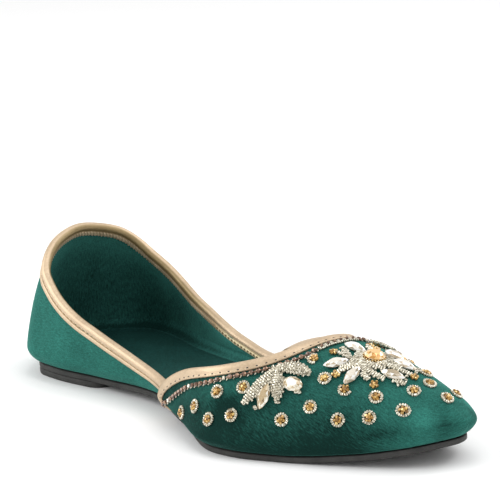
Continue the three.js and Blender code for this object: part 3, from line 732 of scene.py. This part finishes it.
def collar_point(p, d, h):
    up, down = collar_line(p)
    return stepped(quarter_chart, p, up, down, d, h - dip(station_of(p)))


def past_throat(p, d):
    up, down = collar_line(p)
    q, v = moved(quarter_chart, p, up, down, d)
    return station_of(q) - throat(1 - v)


def collar_ends(section, hand, short):
    """How far round the collar each line of the section runs before the throat binding."""
    low = np.full(len(section), 60.0)
    high = np.full(len(section), 190.0)
    for _ in range(26):
        middle = (low + high) / 2
        over = past_throat(hand * middle, section[:, 0]) > -short
        low, high = np.where(over, low, middle), np.where(over, middle, high)
    return low


def make_collar():
    section = rounded(COLLAR_SECTION, 64)
    share = np.linspace(-1, 1, 441)
    ends = {hand: collar_ends(section, hand, 1.55) for hand in (-1, 1)}
    p = np.where(share[:, None] < 0, share[:, None] * ends[-1][None], share[:, None] * ends[1][None])
    d = np.broadcast_to(section[:, 0], p.shape)
    h = np.broadcast_to(section[:, 1], p.shape).copy()
    h = h + 0.05 * np.sin(p / 3.1) * np.exp(-((d - 2.4) / 0.5) ** 2) * (h > 0)
    points = collar_point(p, d, h)
    # Painted shade in the inner hollow of the roll, fading out along the wings, and in the groove by the
    # outer stitches; painted light on the inner flap of the wings
    wing = ease((station_of(p) - 56) / 34)
    d, h = section[:, 0], section[:, 1]
    hollow_shade = ease((-0.5 - h) / 0.8) * ease((2.2 - d) / 0.8)
    groove_shade = np.exp(-((d - 2.5) / 0.25) ** 2) * (h > 0)
    flap_light = ease((-1.6 - h) / 0.6) * ease((d - 0.2) / 0.8)
    brushed = 0.7 * groove_shade + hollow_shade * (1 - wing) - flap_light * wing
    return swept("collar_binding_leather", points, brushed=brushed)


def throat_frame(across):
    s = throat(across)
    before = skin(throat(across - 5e-4), across - 5e-4)
    edge = unit(skin(throat(across + 5e-4), across + 5e-4) - before)
    n = normal(vamp_chart, s, across)
    forward = unit(np.cross(n, edge))
    forward = np.where(forward[..., 1:2] < 0, -forward, forward)
    return s, n, forward, edge


def throat_point(across, d, h):
    s, _, forward, _ = throat_frame(across)
    return stepped(vamp_chart, s, across, forward, d, h)


def make_throat():
    section = rounded(THROAT_SECTION, 60)
    low = np.linspace(0.999, 1 - GIRTH_AT, 14)
    arch = np.linspace(1 - GIRTH_AT, 0, 120)[1:]
    across = np.concatenate([low, arch, -arch[-2::-1], -low[::-1]])
    edge = skin(throat(across), across)
    free = ease((edge[:, 2] - top_height(edge[:, 1]) - THROAT_INNER_START + 3.0) / 4.0)
    d = np.broadcast_to(section[:, 0], (len(across), len(section))).copy()
    h = np.broadcast_to(section[:, 1], d.shape).copy()
    turned = h < -0.3
    ledge = -QUARTER_INSET + CLEARANCE
    folded_d = -1.4 + 0.9 * np.clip((section[:, 0] + 1.42) / 4.4, 0, 1)
    d = np.where(turned, d * free[:, None] + folded_d * (1 - free[:, None]), d)
    h = np.where(turned, h * free[:, None] + (ledge + 0.05 * (section[:, 1] + 3)) * (1 - free[:, None]), h)
    a = np.broadcast_to(across[:, None], d.shape)
    points = throat_point(a, d, h)
    return swept("throat_binding_leather", points)


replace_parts(make_collar(), "collar_binding")
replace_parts(make_throat(), "throat_binding")


# Sole, heel lift and insole: one closed section per station
def slab(name, stations, reach_at, height_at, section, material, bow=None):
    """Closed solid whose sides follow the last; bow carries its front edge forward in the middle."""
    root, reach, out, fore = ray(stations)
    line = section[:, 0]
    arm = reach_at(stations[:, None], reach[:, None], section)
    y = root[:, None] + np.abs(line)[None] * arm * fore[:, None]
    x = swing(y) + line[None] * arm * out[:, None]
    z = np.broadcast_to(height_at(y, section), y.shape)
    if bow is not None:
        y = y.copy()
        y[-1] += bow * (1 - line ** 2)
    points = np.stack([x, y, z], -1)
    faces = grid_quads(*x.shape, closed=True).tolist()
    if bow is not None:
        count = len(section)
        start = (len(stations) - 1) * count
        half = count // 2
        for j in range(half - 1):
            faces.append([start + j, start + j + 1, start + count - 2 - j, start + count - 1 - j])
    uv = np.stack([y, x], -1).reshape(-1, 2)
    # Painted shade deep in the shoe: darker towards the heel; of these slabs only the insole's velvet reads
    # it
    brushed = 0.12 + 0.12 * ease((y - 60) / 60)
    return mesh_object(name, points.reshape(-1, 3), faces, [material], uv=uv, brushed=brushed)


def stations_to(start, end, count, fan=18):
    front = LENGTH - TOE_ROUND
    low = float(round_of(np.array(start)))
    high = float(round_of(np.array(min(end, front))))
    places = station_of(np.linspace(low, high, count))
    if end > front:
        tip = front + TOE_ROUND * np.sin(np.linspace(0, 1, fan + 1)[1:] * np.pi / 2)
        places = np.concatenate([places, tip])
    return places


def slab_section(lines, edge):
    """Rows (line, inset, level): along the bottom, up one side, back over the top, down the other."""
    half = [(1.0, inset, level) for inset, level in edge]
    bottom = [(t, edge[0][0] * abs(t), 0.0) for t in np.linspace(-1, 1, lines)][1:-1]
    top = [(t, edge[-1][0] * abs(t), 1.0) for t in np.linspace(1, -1, lines)][1:-1]
    other = [(-1.0, inset, level) for inset, level in edge[::-1]]
    return np.array([*bottom, *half, *top, *other])


def make_outsole():
    edge = [(0.55, 0.0), (0.18, 0.06), (0.0, 0.24), (0.0, 0.62), (0.04, 0.86), (0.22, 1.0)]
    section = slab_section(13, edge)
    return slab("outsole_rubber", stations_to(0, LENGTH, 150),
                lambda s, reach, sec: reach - tuck(s) + 0.35 - sec[None, :, 1],
                lambda y, sec: sole_bottom(y) + SOLE * sec[None, :, 2], section, RUBBER)


def make_heel():
    section = slab_section(13, [(0.5, 0.0), (0.15, 0.05), (0.0, 0.2), (0.0, 0.7), (0.1, 0.93), (0.3, 1.0)])

    def reach_at(s, reach, sec):
        corner = np.clip((s - HEEL_LENGTH) / HEEL_CORNER + 1, 0, 1)
        return reach - tuck(s) + 0.2 - HEEL_CORNER * (1 - np.sqrt(1 - corner ** 2)) - sec[None, :, 1]
    places = np.concatenate([stations_to(0, HEEL_LENGTH - HEEL_CORNER, 60),
                             HEEL_LENGTH - HEEL_CORNER * (1 - np.sin(np.linspace(0, 1, 12)[1:] * np.pi / 2))])
    return slab("heel_lift_rubber", places, reach_at,
                lambda y, sec: (HEEL_LIFT - 0.12) * sec[None, :, 2], section, RUBBER, bow=HEEL_BOW)


def inner_reach(s, reach, height, gap):
    lap_end = WING_AT + WING_LEAN + LAP
    lapped = ease((s - (WING_AT - LAP_BLEND)) / LAP_BLEND) * ease(1 - (s - lap_end) / LAP)
    depth = VAMP_WALL + gap + (QUARTER_INSET + QUARTER_WALL - VAMP_WALL) * lapped
    t = np.minimum(height / girth(s), 1)
    slope = (2 * tuck(s) * (1 - t)) / girth(s)
    return reach - tuck(s) * (1 - t) ** 2 - depth * np.sqrt(1 + slope ** 2)


def make_insole():
    section = slab_section(25, [(0.3, 0.0), (0.05, 0.15), (0.0, 0.45), (0.1, 0.8), (0.5, 1.0), (1.1, 1.0)])

    def height_at(y, sec):
        top = (sec[None, :, 2] > 0.9) * 1.0
        side = np.abs(sec[None, :, 0])
        rise = 0.5 * side ** 4 - 0.25 * np.exp(-((y - 40) / 24) ** 2) * (1 - side ** 2)
        return footing(y) + INSOLE * sec[None, :, 2] + 0.02 + top * (rise - 0.15)
    return slab("insole_sock", stations_to(0, LENGTH, 170),
                lambda s, reach, sec: inner_reach(s, reach, INSOLE * sec[None, :, 2], 0.25) - sec[None, :, 1],
                height_at, section, INSOLE_VELVET)


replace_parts(make_outsole(), "outsole")
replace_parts(make_heel(), "heel_lift")
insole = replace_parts(make_insole(), "insole")


# Beads: many small turned or cut shapes merged into one mesh
def turned(profile, around):
    """Closed shape of revolution about x; profile rows are (x, radius)."""
    angle = np.arange(around) / around * 2 * np.pi
    points = np.array([[x, r * math.cos(a), r * math.sin(a)] for x, r in profile for a in angle])
    faces = grid_quads(len(profile), around, closed=True).tolist()
    faces.append(list(range(around))[::-1])
    faces.append(list(range((len(profile) - 1) * around, len(profile) * around)))
    return points, faces


BEAD = turned([(-0.5, 0.22), (-0.46, 0.40), (-0.28, 0.5), (0.28, 0.5), (0.46, 0.40), (0.5, 0.22)], 9)
CUT_BEAD = turned([(-0.5, 0.26), (-0.2, 0.5), (0.2, 0.5), (0.5, 0.26)], 6)
STITCH = turned([(-0.5, 0.12), (-0.4, 0.38), (-0.15, 0.5), (0.15, 0.5), (0.4, 0.38), (0.5, 0.12)], 8)
rng = np.random.default_rng(11)


def scatter(name, shape, centres, axes, normals, sizes, material, smooth=False):
    """One mesh of copies of shape. axes: long direction; sizes: (length, width, height) each."""
    points, faces = shape
    centres, axes, normals, sizes = (np.asarray(v, float) for v in (centres, axes, normals, sizes))
    x = unit(axes)
    z = unit(normals - np.sum(normals * x, -1, keepdims=True) * x)
    frames = np.stack([x, np.cross(z, x), z], 1)
    world = centres[:, None] + (points[None] * sizes[:, None]) @ frames
    count = len(points)
    all_faces = [[i * count + k for k in f] for i in range(len(centres)) for f in faces]
    # Each face takes a random place on its material's ramp, from painted shade to painted highlight; each
    # bead a small random shift of its own
    values = rng.uniform(0.0, 1.0, len(all_faces))
    body = np.repeat(rng.uniform(-0.12, 0.12, len(centres)), len(faces))
    return mesh_object(name, world.reshape(-1, 3), all_faces, [material], smooth=smooth,
                       painted_tones=np.clip(values + body, 0, 1), tidy=False)


def spot(at, e):
    s = np.array([at * LENGTH])
    e = np.array([float(e)])
    n = normal(vamp_chart, s, e)[0]
    p = skin(s, e)[0] + n * relief(s, e)[0]
    a = unit(tangents(vamp_chart, s, e)[0])[0]
    side = np.cross(n, a)
    return p, n, a, side


def way(angle, ahead, side):
    return math.cos(angle) * ahead + math.sin(angle) * side


# Beyond this share of LENGTH beads are set on the plane of the place beside which they lie
TIP_FROM = 0.98


def beside(at, e, direction, distance, height):
    """Point and normal a short way over the vamp from a place."""
    if at > TIP_FROM:
        p, n, _, _ = spot(at, e)
        return p + direction * distance + n * (height - distance ** 2 / (2 * TOE_ROUND)), n
    s, across = moved(vamp_chart, np.array([at * LENGTH]), np.array([float(e)]), direction[None], distance)
    n = normal(vamp_chart, s, across)[0]
    return skin(s, across)[0] + n * (height + relief(s, across)[0]), n


# Places on the vamp: (share of LENGTH, across). The far side repeats the side's rosettes
SIDE_ROSETTES = [(0.573, 0.775), (0.619, 0.660), (0.663, 0.680), (0.663, 0.530), (0.703, 0.620),
                 (0.703, 0.465), (0.780, 0.610), (0.814, 0.520)]
FRONT_ROSETTES = [(0.810, 0.325), (0.860, 0.605), (0.900, 0.575), (0.895, 0.380), (0.939, 0.455),
                  (0.929, 0.170), (0.927, -0.060), (0.998, -0.220), (0.956, -0.345), (0.898, -0.195)]
FAR_ROSETTES = [(0.812, -0.400), (0.860, -0.605), (0.900, -0.575)]
ROSETTES = [*SIDE_ROSETTES, *FRONT_ROSETTES, *((at, -e) for at, e in SIDE_ROSETTES), *FAR_ROSETTES]
# Amber clusters with silver only on the side away from the centre stone
HALF_ROSETTES = [(0.770, 0.210), (0.849, 0.375), (0.758, -0.300), (0.852, -0.450)]
LOOSE = [(0.782, 0.115), (0.821, 0.280), (0.881, 0.280), (0.907, 0.000), (0.856, -0.147),
         (0.811, -0.093), (0.795, -0.105)]
CENTRE = (0.833, 0.005)


def cluster(at, e, radius, lists):
    """A tight group of small cut amber beads round a higher middle one."""
    p, n, a, side = spot(at, e)
    turn = rng.uniform(0, 1.2)
    for k in range(5):
        angle = turn + k * 2 * math.pi / 5 + rng.uniform(-0.15, 0.15)
        direction = way(angle, a, side)
        centre, up = beside(at, e, direction, radius + rng.uniform(-0.1, 0.1), 0.85 + rng.uniform(-0.1, 0.15))
        lists.append((centre, up + 0.5 * direction, direction, (1.5, 1.5, 1.5)))
    lists.append((p + n * 1.35, a, n, (1.7, 1.7, 1.5)))


def rows_of(items):
    return [np.array([item[k] for item in items]) for k in range(4)]


def ring_beads(at, e, radius, start, stop, count, lists):
    """Silver beads set round a place, each pointing away from it."""
    _, _, a, side = spot(at, e)
    for k in range(count):
        angle = start + (stop - start) * k / count + rng.uniform(-0.05, 0.05)
        direction = way(angle, a, side)
        centre, up = beside(at, e, direction, radius + rng.uniform(-0.1, 0.1), 0.55 + rng.uniform(-0.05, 0.1))
        outwards = direction - 0.15 * up + 0.1 * rng.uniform(-1, 1) * side
        lists.append((centre, outwards, up, (1.15, 0.92, 0.98)))


def make_rosettes():
    ring, amber = [], []
    for at, e in ROSETTES:
        start = rng.uniform(0, 1)
        ring_beads(at, e, 2.32, start, start + 2 * math.pi, 17, ring)
        cluster(at, e, 1.2, amber)
    for at, e in HALF_ROSETTES:
        _, _, a, side = spot(at, e)
        away = spot(at, e)[0] - spot(*CENTRE)[0]
        facing = math.atan2(float(away @ side), float(away @ a))
        ring_beads(at, e, 2.4, facing - 1.9, facing + 1.9, 11, ring)
        cluster(at, e, 1.25, amber)
    for at, e in LOOSE:
        cluster(at, e, 1.2, amber)
    _, _, a, side = spot(*CENTRE)
    for k in range(22):
        angle = k / 22 * 2 * math.pi
        direction = way(angle, a, side)
        where, up = beside(*CENTRE, direction, 4.35 + 0.12 * math.cos(angle) ** 2, 0.85)
        amber.append((where, up, direction, (1.2, 1.0, 1.0)))
    scatter("rosette_silver_rings", BEAD, *rows_of(ring), SILVER)
    scatter("rosette_amber_beads", CUT_BEAD, *rows_of(amber), AMBER)


make_rosettes()


# Bead row in front of the throat binding
row_at = through(np.array([0.0, 0.18, 0.235, 0.315, 0.38, 0.44, 0.52, 0.635, 0.845, 0.95]),
                 np.array([0.759, 0.757, 0.751, 0.730, 0.705, 0.676, 0.636, 0.575, 0.498, 0.476]) * LENGTH)


def make_throat_row():
    places = np.linspace(0.94, -0.94, 900)
    points = skin(row_at(np.abs(places)), places)
    run = np.concatenate([[0], np.cumsum(np.linalg.norm(np.diff(points, axis=0), axis=1))])
    copper, silver = [], []
    position = 0.0
    k = 0
    while position < run[-1]:
        across = float(np.interp(position, run, places))
        one = np.array([across])
        s = row_at(np.abs(one))
        up = normal(vamp_chart, s, one)[0]
        base = skin(s, one)[0] + up * relief(s, one)[0]
        ends = [skin(row_at(np.abs(one + step)), one + step) for step in (-2e-3, 2e-3)]
        edge = unit(ends[1] - ends[0])[0]
        forward = np.cross(up, edge)
        if forward[1] < 0:
            forward = -forward
        if abs(across) < 0.15:
            for lane, dist in ((0, -0.55), (1, 0.6)):
                tilt = edge * (0.8 if (k + lane) % 2 else 0.3) + forward * 0.8
                silver.append((base + forward * dist + up * 0.75, tilt, up, (1.5, 1.0, 1.0)))
            if k % 3 == 0:
                copper.append((base + up * 1.5, edge, up, (1.3, 1.3, 1.3)))
            position += 1.1
        else:
            if k % 7 == 4:
                silver.append((base + up * 0.8, forward, up, (1.7, 1.3, 1.2)))
            else:
                copper.append((base + up * 0.95, edge, up, (1.9, 2.0, 1.8)))
            between = base - edge * 1.5
            silver.append((between + up * 0.45 + forward * 0.7, edge + forward, up, (1.2, 0.55, 0.55)))
            copper.append((between + up * 0.5 - forward * 0.2, edge, up, (1.2, 1.1, 1.0)))
            position += 3.0
        k += 1
    scatter("throat_row_copper_beads", CUT_BEAD, *rows_of(copper), COPPER)
    scatter("throat_row_silver_beads", BEAD, *rows_of(silver), SILVER)


make_throat_row()


# Cut stones in place of the plain ones: table, crown, girdle and base, each facet at a random place on a ramp
# of painted reflection, from painted shade to painted highlight
PETAL = (10.6, 5.4, 2.5)
SPRAY = (11.4, 5.4, 2.5)
OVAL = (9.0, 6.4, 2.7)
# Node, size, ahead of the toe, across, turn, roundness, material, slot, sides
STONES = [
    ("centre_stone", (9.0, 8.4, 3.0), 0.167, 0.005, 0, 2.0, AMBER_STONE, "amber_stone", 12),
    ("petal_stone_outer", PETAL, 0.194, 0.203, -40, 1.45, CRYSTAL, "clear_stone", 10),
    ("petal_stone_outer_front", PETAL, 0.156, 0.262, -78, 1.45, CRYSTAL, "clear_stone", 10),
    ("petal_stone_back", PETAL, 0.207, 0.0, -2, 1.45, CRYSTAL, "clear_stone", 10),
    ("petal_stone_front", PETAL, 0.112, 0.120, -13, 1.45, CRYSTAL, "clear_stone", 10),
    ("petal_stone_inner_front", PETAL, 0.124, -0.070, -12, 1.45, CRYSTAL, "clear_stone", 10),
    ("petal_stone_inner", PETAL, 0.157, -0.125, -2, 1.45, CRYSTAL, "clear_stone", 10),
    ("spray_stone_outer", SPRAY, 0.259, 0.490, 96, 1.45, CHAMPAGNE, "clear_stone", 10),
    ("oval_stone_outer", OVAL, 0.228, 0.400, 8, 1.8, CHAMPAGNE, "clear_stone", 12),
    ("spray_stone_inner", SPRAY, 0.259, -0.490, -96, 1.45, CHAMPAGNE, "clear_stone", 10),
    ("oval_stone_inner", OVAL, 0.228, -0.400, -8, 1.8, CHAMPAGNE, "clear_stone", 12),
]


def stone_frame(ahead, over, turn):
    """Seat of a stone on the vamp: its place, normal, long direction and wide direction."""
    p, n, front, _ = spot(1 - ahead, over)
    side = np.cross(front, n)
    angle = math.radians(turn)
    long = unit(front * math.cos(angle) + side * math.sin(angle))
    return p, n, long, np.cross(long, n)


STONE_FRAMES = [stone_frame(*row[2:5]) for row in STONES]


# Leaves of packed silver beads, rows across each leaf, highest in the middle
LEAVES = [
    ((0.739, 0.318), (0.730, 0.420), (0.718, 0.545), 5.6, -0.1),
    ((0.741, 0.345), (0.752, 0.420), (0.764, 0.500), 5.8, 0.5),
    ((0.737, 0.330), (0.757, 0.306), (0.787, 0.324), 5.8, -0.1),
]


LEAF_ENDS = [(0.735, 0.552), (0.7375, 0.560), (0.786, 0.433), (0.7885, 0.440), (0.7835, 0.440),
             (0.7655, 0.512), (0.7625, 0.512)]


def curve_through(places, count):
    """Places evenly spaced in number on a smooth curve through three or more places."""
    table = np.array(places, float)
    knots = np.linspace(0, 1, len(table))
    return np.stack([through(knots, table[:, k], True)(np.linspace(0, 1, count)) for k in (0, 1)], -1)


def packed_rows(path, half_at, lists, height, mirror, pitch=1.0, size=(1.15, 1.08, 1.08)):
    """Rows of beads across a curved path, packed closely and domed to its middle."""
    path = [(at, e * mirror) for at, e in path]
    dense = curve_through(path, 25)
    points = skin(dense[:, 0] * LENGTH, dense[:, 1])
    run = np.concatenate([[0], np.cumsum(np.linalg.norm(np.diff(points, axis=0), axis=1))])
    rows = max(3, int(run[-1] / pitch))
    for i in range(rows + 1):
        along = run[-1] * i / rows
        at, e = (float(np.interp(along, run, dense[:, k])) for k in (0, 1))
        here = np.array([np.interp(along, run, points[:, k]) for k in range(3)])
        ahead = np.array([np.interp(min(along + 0.3, run[-1]), run, points[:, k]) for k in range(3)])
        back = np.array([np.interp(max(along - 0.3, 0), run, points[:, k]) for k in range(3)])
        n = spot(at, e)[1]
        direction = unit(ahead - back)
        cross = unit(np.cross(n, direction))
        half = half_at(i / rows)
        count = max(1, int(round(2 * half / 1.08)))
        for k in range(count):
            v = (k - (count - 1) / 2) * (2 * half / count) + (0.22 if i % 2 else -0.22) * (count > 1)
            rise = height * (1 - (v / (half + 0.7)) ** 2)
            where, up = beside(at, e, cross, v, 0.6 + rise + rng.uniform(-0.08, 0.08))
            tilt = cross - up * v * 0.25 + direction * rng.uniform(-0.2, 0.2)
            lists.append((where, tilt, up + cross * v * 0.25, size))
    return here


def make_leaves():
    beads = []
    for hand in (1, -1):
        for start, middle, end, wide, blunt in LEAVES:
            def half_at(t, wide=wide, blunt=blunt):
                return wide / 2 * max(0.2 + blunt * t * 0.5, math.sin(math.pi * (0.08 + 0.84 * t)) ** 0.7)
            packed_rows([start, middle, end], half_at, beads, 1.5, hand)
        for at, e in LEAF_ENDS:
            p, n, a, side = spot(at, e * hand)
            beads.append((p + n * 0.7, a + 0.4 * side * hand, n, (1.5, 1.1, 1.1)))
    scatter("spray_leaf_beads", BEAD, *rows_of(beads), SILVER)


make_leaves()


# Branches of silver bars from round the centre stone out to the loose amber beads. Each row:
# places that the branch passes, its width at both ends and how high it is heaped
BRANCHES = [
    ([(0.785, 0.062), (0.799, 0.090), (0.812, 0.127), (0.829, 0.153)], 1.9, 3.0, 0.9),
    ([(0.786, 0.112), (0.796, 0.108), (0.806, 0.116)], 1.5, 1.9, 0.5),
    ([(0.812, 0.035), (0.820, 0.085), (0.829, 0.135)], 2.6, 3.0, 1.0),
    ([(0.822, 0.262), (0.826, 0.225), (0.832, 0.193), (0.836, 0.150)], 1.9, 3.0, 0.7),
    ([(0.811, 0.232), (0.821, 0.205), (0.828, 0.170)], 1.6, 2.2, 0.5),
    ([(0.836, 0.140), (0.850, 0.170), (0.866, 0.196), (0.886, 0.206)], 3.6, 1.8, 1.1),
    ([(0.842, 0.150), (0.852, 0.210), (0.868, 0.256)], 3.0, 1.7, 0.6),
    ([(0.845, 0.118), (0.858, 0.120), (0.870, 0.100)], 3.4, 2.2, 0.9),
    ([(0.857, 0.050), (0.871, 0.040), (0.887, 0.030), (0.901, 0.012)], 3.2, 1.8, 0.9),
    ([(0.858, -0.020), (0.868, -0.022), (0.880, -0.005)], 2.6, 1.8, 0.7),
    ([(0.846, -0.080), (0.850, -0.062), (0.858, -0.040)], 2.0, 2.4, 0.7),
    ([(0.815, -0.045), (0.805, -0.060), (0.798, -0.085)], 2.4, 1.7, 0.7),
    ([(0.890, 0.175), (0.903, 0.160), (0.912, 0.150)], 1.6, 2.0, 0.4),
    ([(0.880, -0.125), (0.890, -0.112), (0.897, -0.100)], 1.6, 2.2, 0.4),
]


def clear_of_stones(point):
    """Whether a bead's middle lies outside every cut stone's outline."""
    for (_, size, _, _, _, round_, _, _, _), (p, _, long, wide) in zip(STONES, STONE_FRAMES):
        u = abs(float((point - p) @ long)) / (size[0] / 2 + 0.35)
        v = abs(float((point - p) @ wide)) / (size[1] / 2 + 0.35)
        if u ** round_ + v ** round_ < 1:
            return False
    return True


def make_branches():
    beads = []
    for path, wide, narrow, heap in BRANCHES:
        def half_at(t, first=wide, last=narrow):
            return (first + (last - first) * t) / 2
        packed_rows(path, half_at, beads, heap, 1, 0.92, (1.5, 0.95, 1.0))
    for radius, first, last, height in ((5.35, 0.0, 6.28, 0.75), (6.6, -2.3, -0.4, 0.7)):
        count = int((last - first) * radius / 1.12)
        for k in range(count):
            _, _, a, side = spot(*CENTRE)
            angle = first + (last - first) * k / count
            direction = way(angle, a, side)
            where, up = beside(*CENTRE, direction, radius + rng.uniform(-0.15, 0.15), height)
            beads.append((where, direction + 0.5 * rng.uniform(-1, 1) * side, up, (1.45, 1.0, 1.1)))
    for at, e, radius, facing in ((0.888, 0.120, 2.2, 0.2), (0.876, -0.070, 2.6, 0.0)):
        for k in range(5):
            angle = facing + (k - 2) * 0.45
            _, _, a, side = spot(at, e)
            direction = way(angle, a, side)
            where, up = beside(at, e, direction, radius + 3.4, 0.7)
            beads.append((where, direction, up, (1.4, 1.0, 1.0)))
    beads = [row for row in beads if clear_of_stones(row[0])]
    scatter("centre_branch_beads", BEAD, *rows_of(beads), SILVER)


make_branches()


def make_stone(node, size, ahead, over, turn, round_, material, slot_name, sides):
    p, n, long, wide = stone_frame(ahead, over, turn)
    layers = [(0.80, 0.0, 0), (1.0, 0.30, 0), (1.0, 0.40, 0), (0.80, 0.72, 0.5), (0.52, 1.0, 0)]
    points, faces = [], []
    for scale, high, offset in layers:
        for i in range(sides):
            a = (i + offset) / sides * 2 * math.pi
            u = math.cos(a)
            v = math.copysign((1 - abs(u) ** round_) ** (1 / round_), math.sin(a))
            points.append(p + n * (CLEARANCE + high * size[2]) + long * (u * scale * size[0] / 2)
                          + wide * (v * scale * size[1] / 2))
    for k in range(2):
        faces += (grid_quads(2, sides, closed=True) + k * sides).tolist()
    for k in (2, 3):
        for i in range(sides):
            j = (i + 1) % sides
            a, b, c, d = k * sides + i, k * sides + j, (k + 1) * sides + i, (k + 1) * sides + j
            if k == 2:
                faces += [[a, b, c], [b, d, c]]
            else:
                faces += [[a, b, d], [a, d, c]]
    faces.append([4 * sides + i for i in range(sides)])
    faces.append([i for i in range(sides)][::-1])
    local = np.random.default_rng(abs(hash_name(node)) % 1000)
    painted_tones = local.uniform(0.1, 1.0, len(faces))
    made = mesh_object(node + "_cut", points, faces, [material], smooth=False, painted_tones=painted_tones)
    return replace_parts(made, node)


def hash_name(text):
    return sum((i + 1) * ord(c) for i, c in enumerate(text))


for row in STONES:
    make_stone(*row)


# Stitches and needle holes of the bindings
def along_collar(d, h, pitch, start, end):
    """Places every pitch millimetres along a line of the collar binding."""
    p = np.linspace(start, end, 1200)
    points = collar_point(p, np.full(p.shape, d), np.full(p.shape, h))
    run = np.concatenate([[0], np.cumsum(np.linalg.norm(np.diff(points, axis=0), axis=1))])
    at = np.arange(pitch, run[-1] - pitch, pitch)
    q = np.interp(at, run, p)
    here = collar_point(q, np.full(q.shape, d), np.full(q.shape, h))
    ahead = collar_point(q + 0.2, np.full(q.shape, d), np.full(q.shape, h))
    deeper = collar_point(q, np.full(q.shape, d), np.full(q.shape, h + 0.5))
    return here, unit(ahead - here), unit(deeper - here)


WHIP_TO = 78.0


def sew(name, here, along, up, sizes, material):
    sizes = np.broadcast_to(sizes, here.shape)
    scatter(name, STITCH, here, along, up, sizes, material, smooth=True)


def make_collar_stitches():
    line = np.array([[2.4, 0.6]])
    outer, inner = (collar_ends(line, hand, 3.5)[0] for hand in (1, -1))
    sew("collar_outer_stitches", *along_collar(2.5, 0.30, 2.7, -inner, outer), [1.7, 0.45, 0.5], THREAD)
    here, along, up = along_collar(2.75, -2.74, 1.55, -inner + 3, outer - 3)
    heel = here[:, 1] < WHIP_TO
    here, along, up = here[heel], along[heel], up[heel]
    slant = unit(np.cross(up, along)) + 0.55 * along
    sizes = np.tile([2.7, 0.95, 0.42], (len(here), 1))
    sizes[:, 0] += rng.uniform(-0.2, 0.2, len(here))
    sew("collar_inner_stitches", here, slant, up, sizes, THREAD)
    here, along, up = along_collar(2.5, -2.74, 2.5, -inner + 2, outer - 2)
    wing = here[:, 1] > WHIP_TO
    sew("collar_inner_needle_holes", here[wing], along[wing], up[wing], [1.3, 1.0, 0.4], OLIVE_HOLE_SHADOW)


def make_throat_stitches():
    across = np.linspace(0.97, -0.97, 1400)
    d, h = 2.55, 0.86
    line = throat_point(across, np.full(across.shape, d), np.full(across.shape, h))
    run = np.concatenate([[0], np.cumsum(np.linalg.norm(np.diff(line, axis=0), axis=1))])
    for name, start, height, size, material in (("throat_needle_holes", 2.0, h, [1.0, 0.65, 0.4], HOLE),
                                                ("throat_thread", 4.0, h - 0.02, [1.9, 0.5, 0.34], THREAD)):
        q = np.interp(np.arange(start, run[-1] - 2, 4.0), run, across)
        here = throat_point(q, np.full(q.shape, d), np.full(q.shape, height))
        _, n, _, edge = throat_frame(q)
        sew(name, here, edge, n, size, material)


make_collar_stitches()
make_throat_stitches()


# Camera, floor and light
PHOTO_WIDTH = 500
LENS_IN_PIXELS = 2574.94
CAMERA_ROLL = -1.82


def make_camera():
    data = bpy.data.cameras.new("photo_camera")
    data.sensor_width = 36.0
    data.lens = data.sensor_width * LENS_IN_PIXELS / PHOTO_WIDTH
    data.clip_start, data.clip_end = 0.05, 20
    camera = bpy.data.objects.new("photo_camera", data)
    bpy.context.scene.collection.objects.link(camera)
    place = Vector((0.64784, 0.82701, 0.3308))
    aim = Vector((-0.02172, -0.01084, 0.0641))
    roll = Matrix.Rotation(math.radians(CAMERA_ROLL), 3, "Z")
    turn = (aim - place).to_track_quat("-Z", "Y").to_matrix() @ roll
    camera.matrix_world = Matrix.Translation(place) @ turn.to_4x4()
    bpy.context.scene.camera = camera


def make_floor():
    half = 6.0
    mesh = bpy.data.meshes.new("studio_floor")
    corners = [(-half, -half, 0), (half, -half, 0), (half, half, 0), (-half, half, 0)]
    mesh.from_pydata(corners, [], [(0, 1, 2, 3)])
    made, _, shader = new_material("studio_floor")
    shader.inputs["Base Color"].default_value = (0.93, 0.93, 0.93, 1)
    shader.inputs["Roughness"].default_value = 0.8
    shader.inputs["Specular IOR Level"].default_value = 0.1
    mesh.materials.append(made)
    floor = bpy.data.objects.new("studio_floor", mesh)
    bpy.context.scene.collection.objects.link(floor)


def area_light(name, place, aim, size, power):
    data = bpy.data.lights.new(name, "AREA")
    data.shape = "RECTANGLE"
    data.size, data.size_y = size
    data.energy = power
    light = bpy.data.objects.new(name, data)
    light.location = place
    light.rotation_mode = "QUATERNION"
    light.rotation_quaternion = (Vector(aim) - Vector(place)).to_track_quat("-Z", "Y")
    bpy.context.scene.collection.objects.link(light)


make_camera()
make_floor()
area_light("side_softbox", (0.95, -0.75, 0.75), (0, -0.02, 0.02), (1.0, 1.0), 10.5)
area_light("top_softbox", (-0.25, 0.35, 1.25), (0, 0.02, 0.02), (1.2, 1.2), 7.0)
area_light("back_softbox", (-1.0, 0.1, 0.7), (0, 0.02, 0.03), (0.6, 0.6), 3.2)
world = bpy.data.worlds.new("studio_world")
world.use_nodes = True
world.node_tree.nodes["Background"].inputs["Color"].default_value = (1, 1, 1, 1)
world.node_tree.nodes["Background"].inputs["Strength"].default_value = 0.80
bpy.context.scene.world = world
bpy.context.scene.view_settings.view_transform = "Standard"
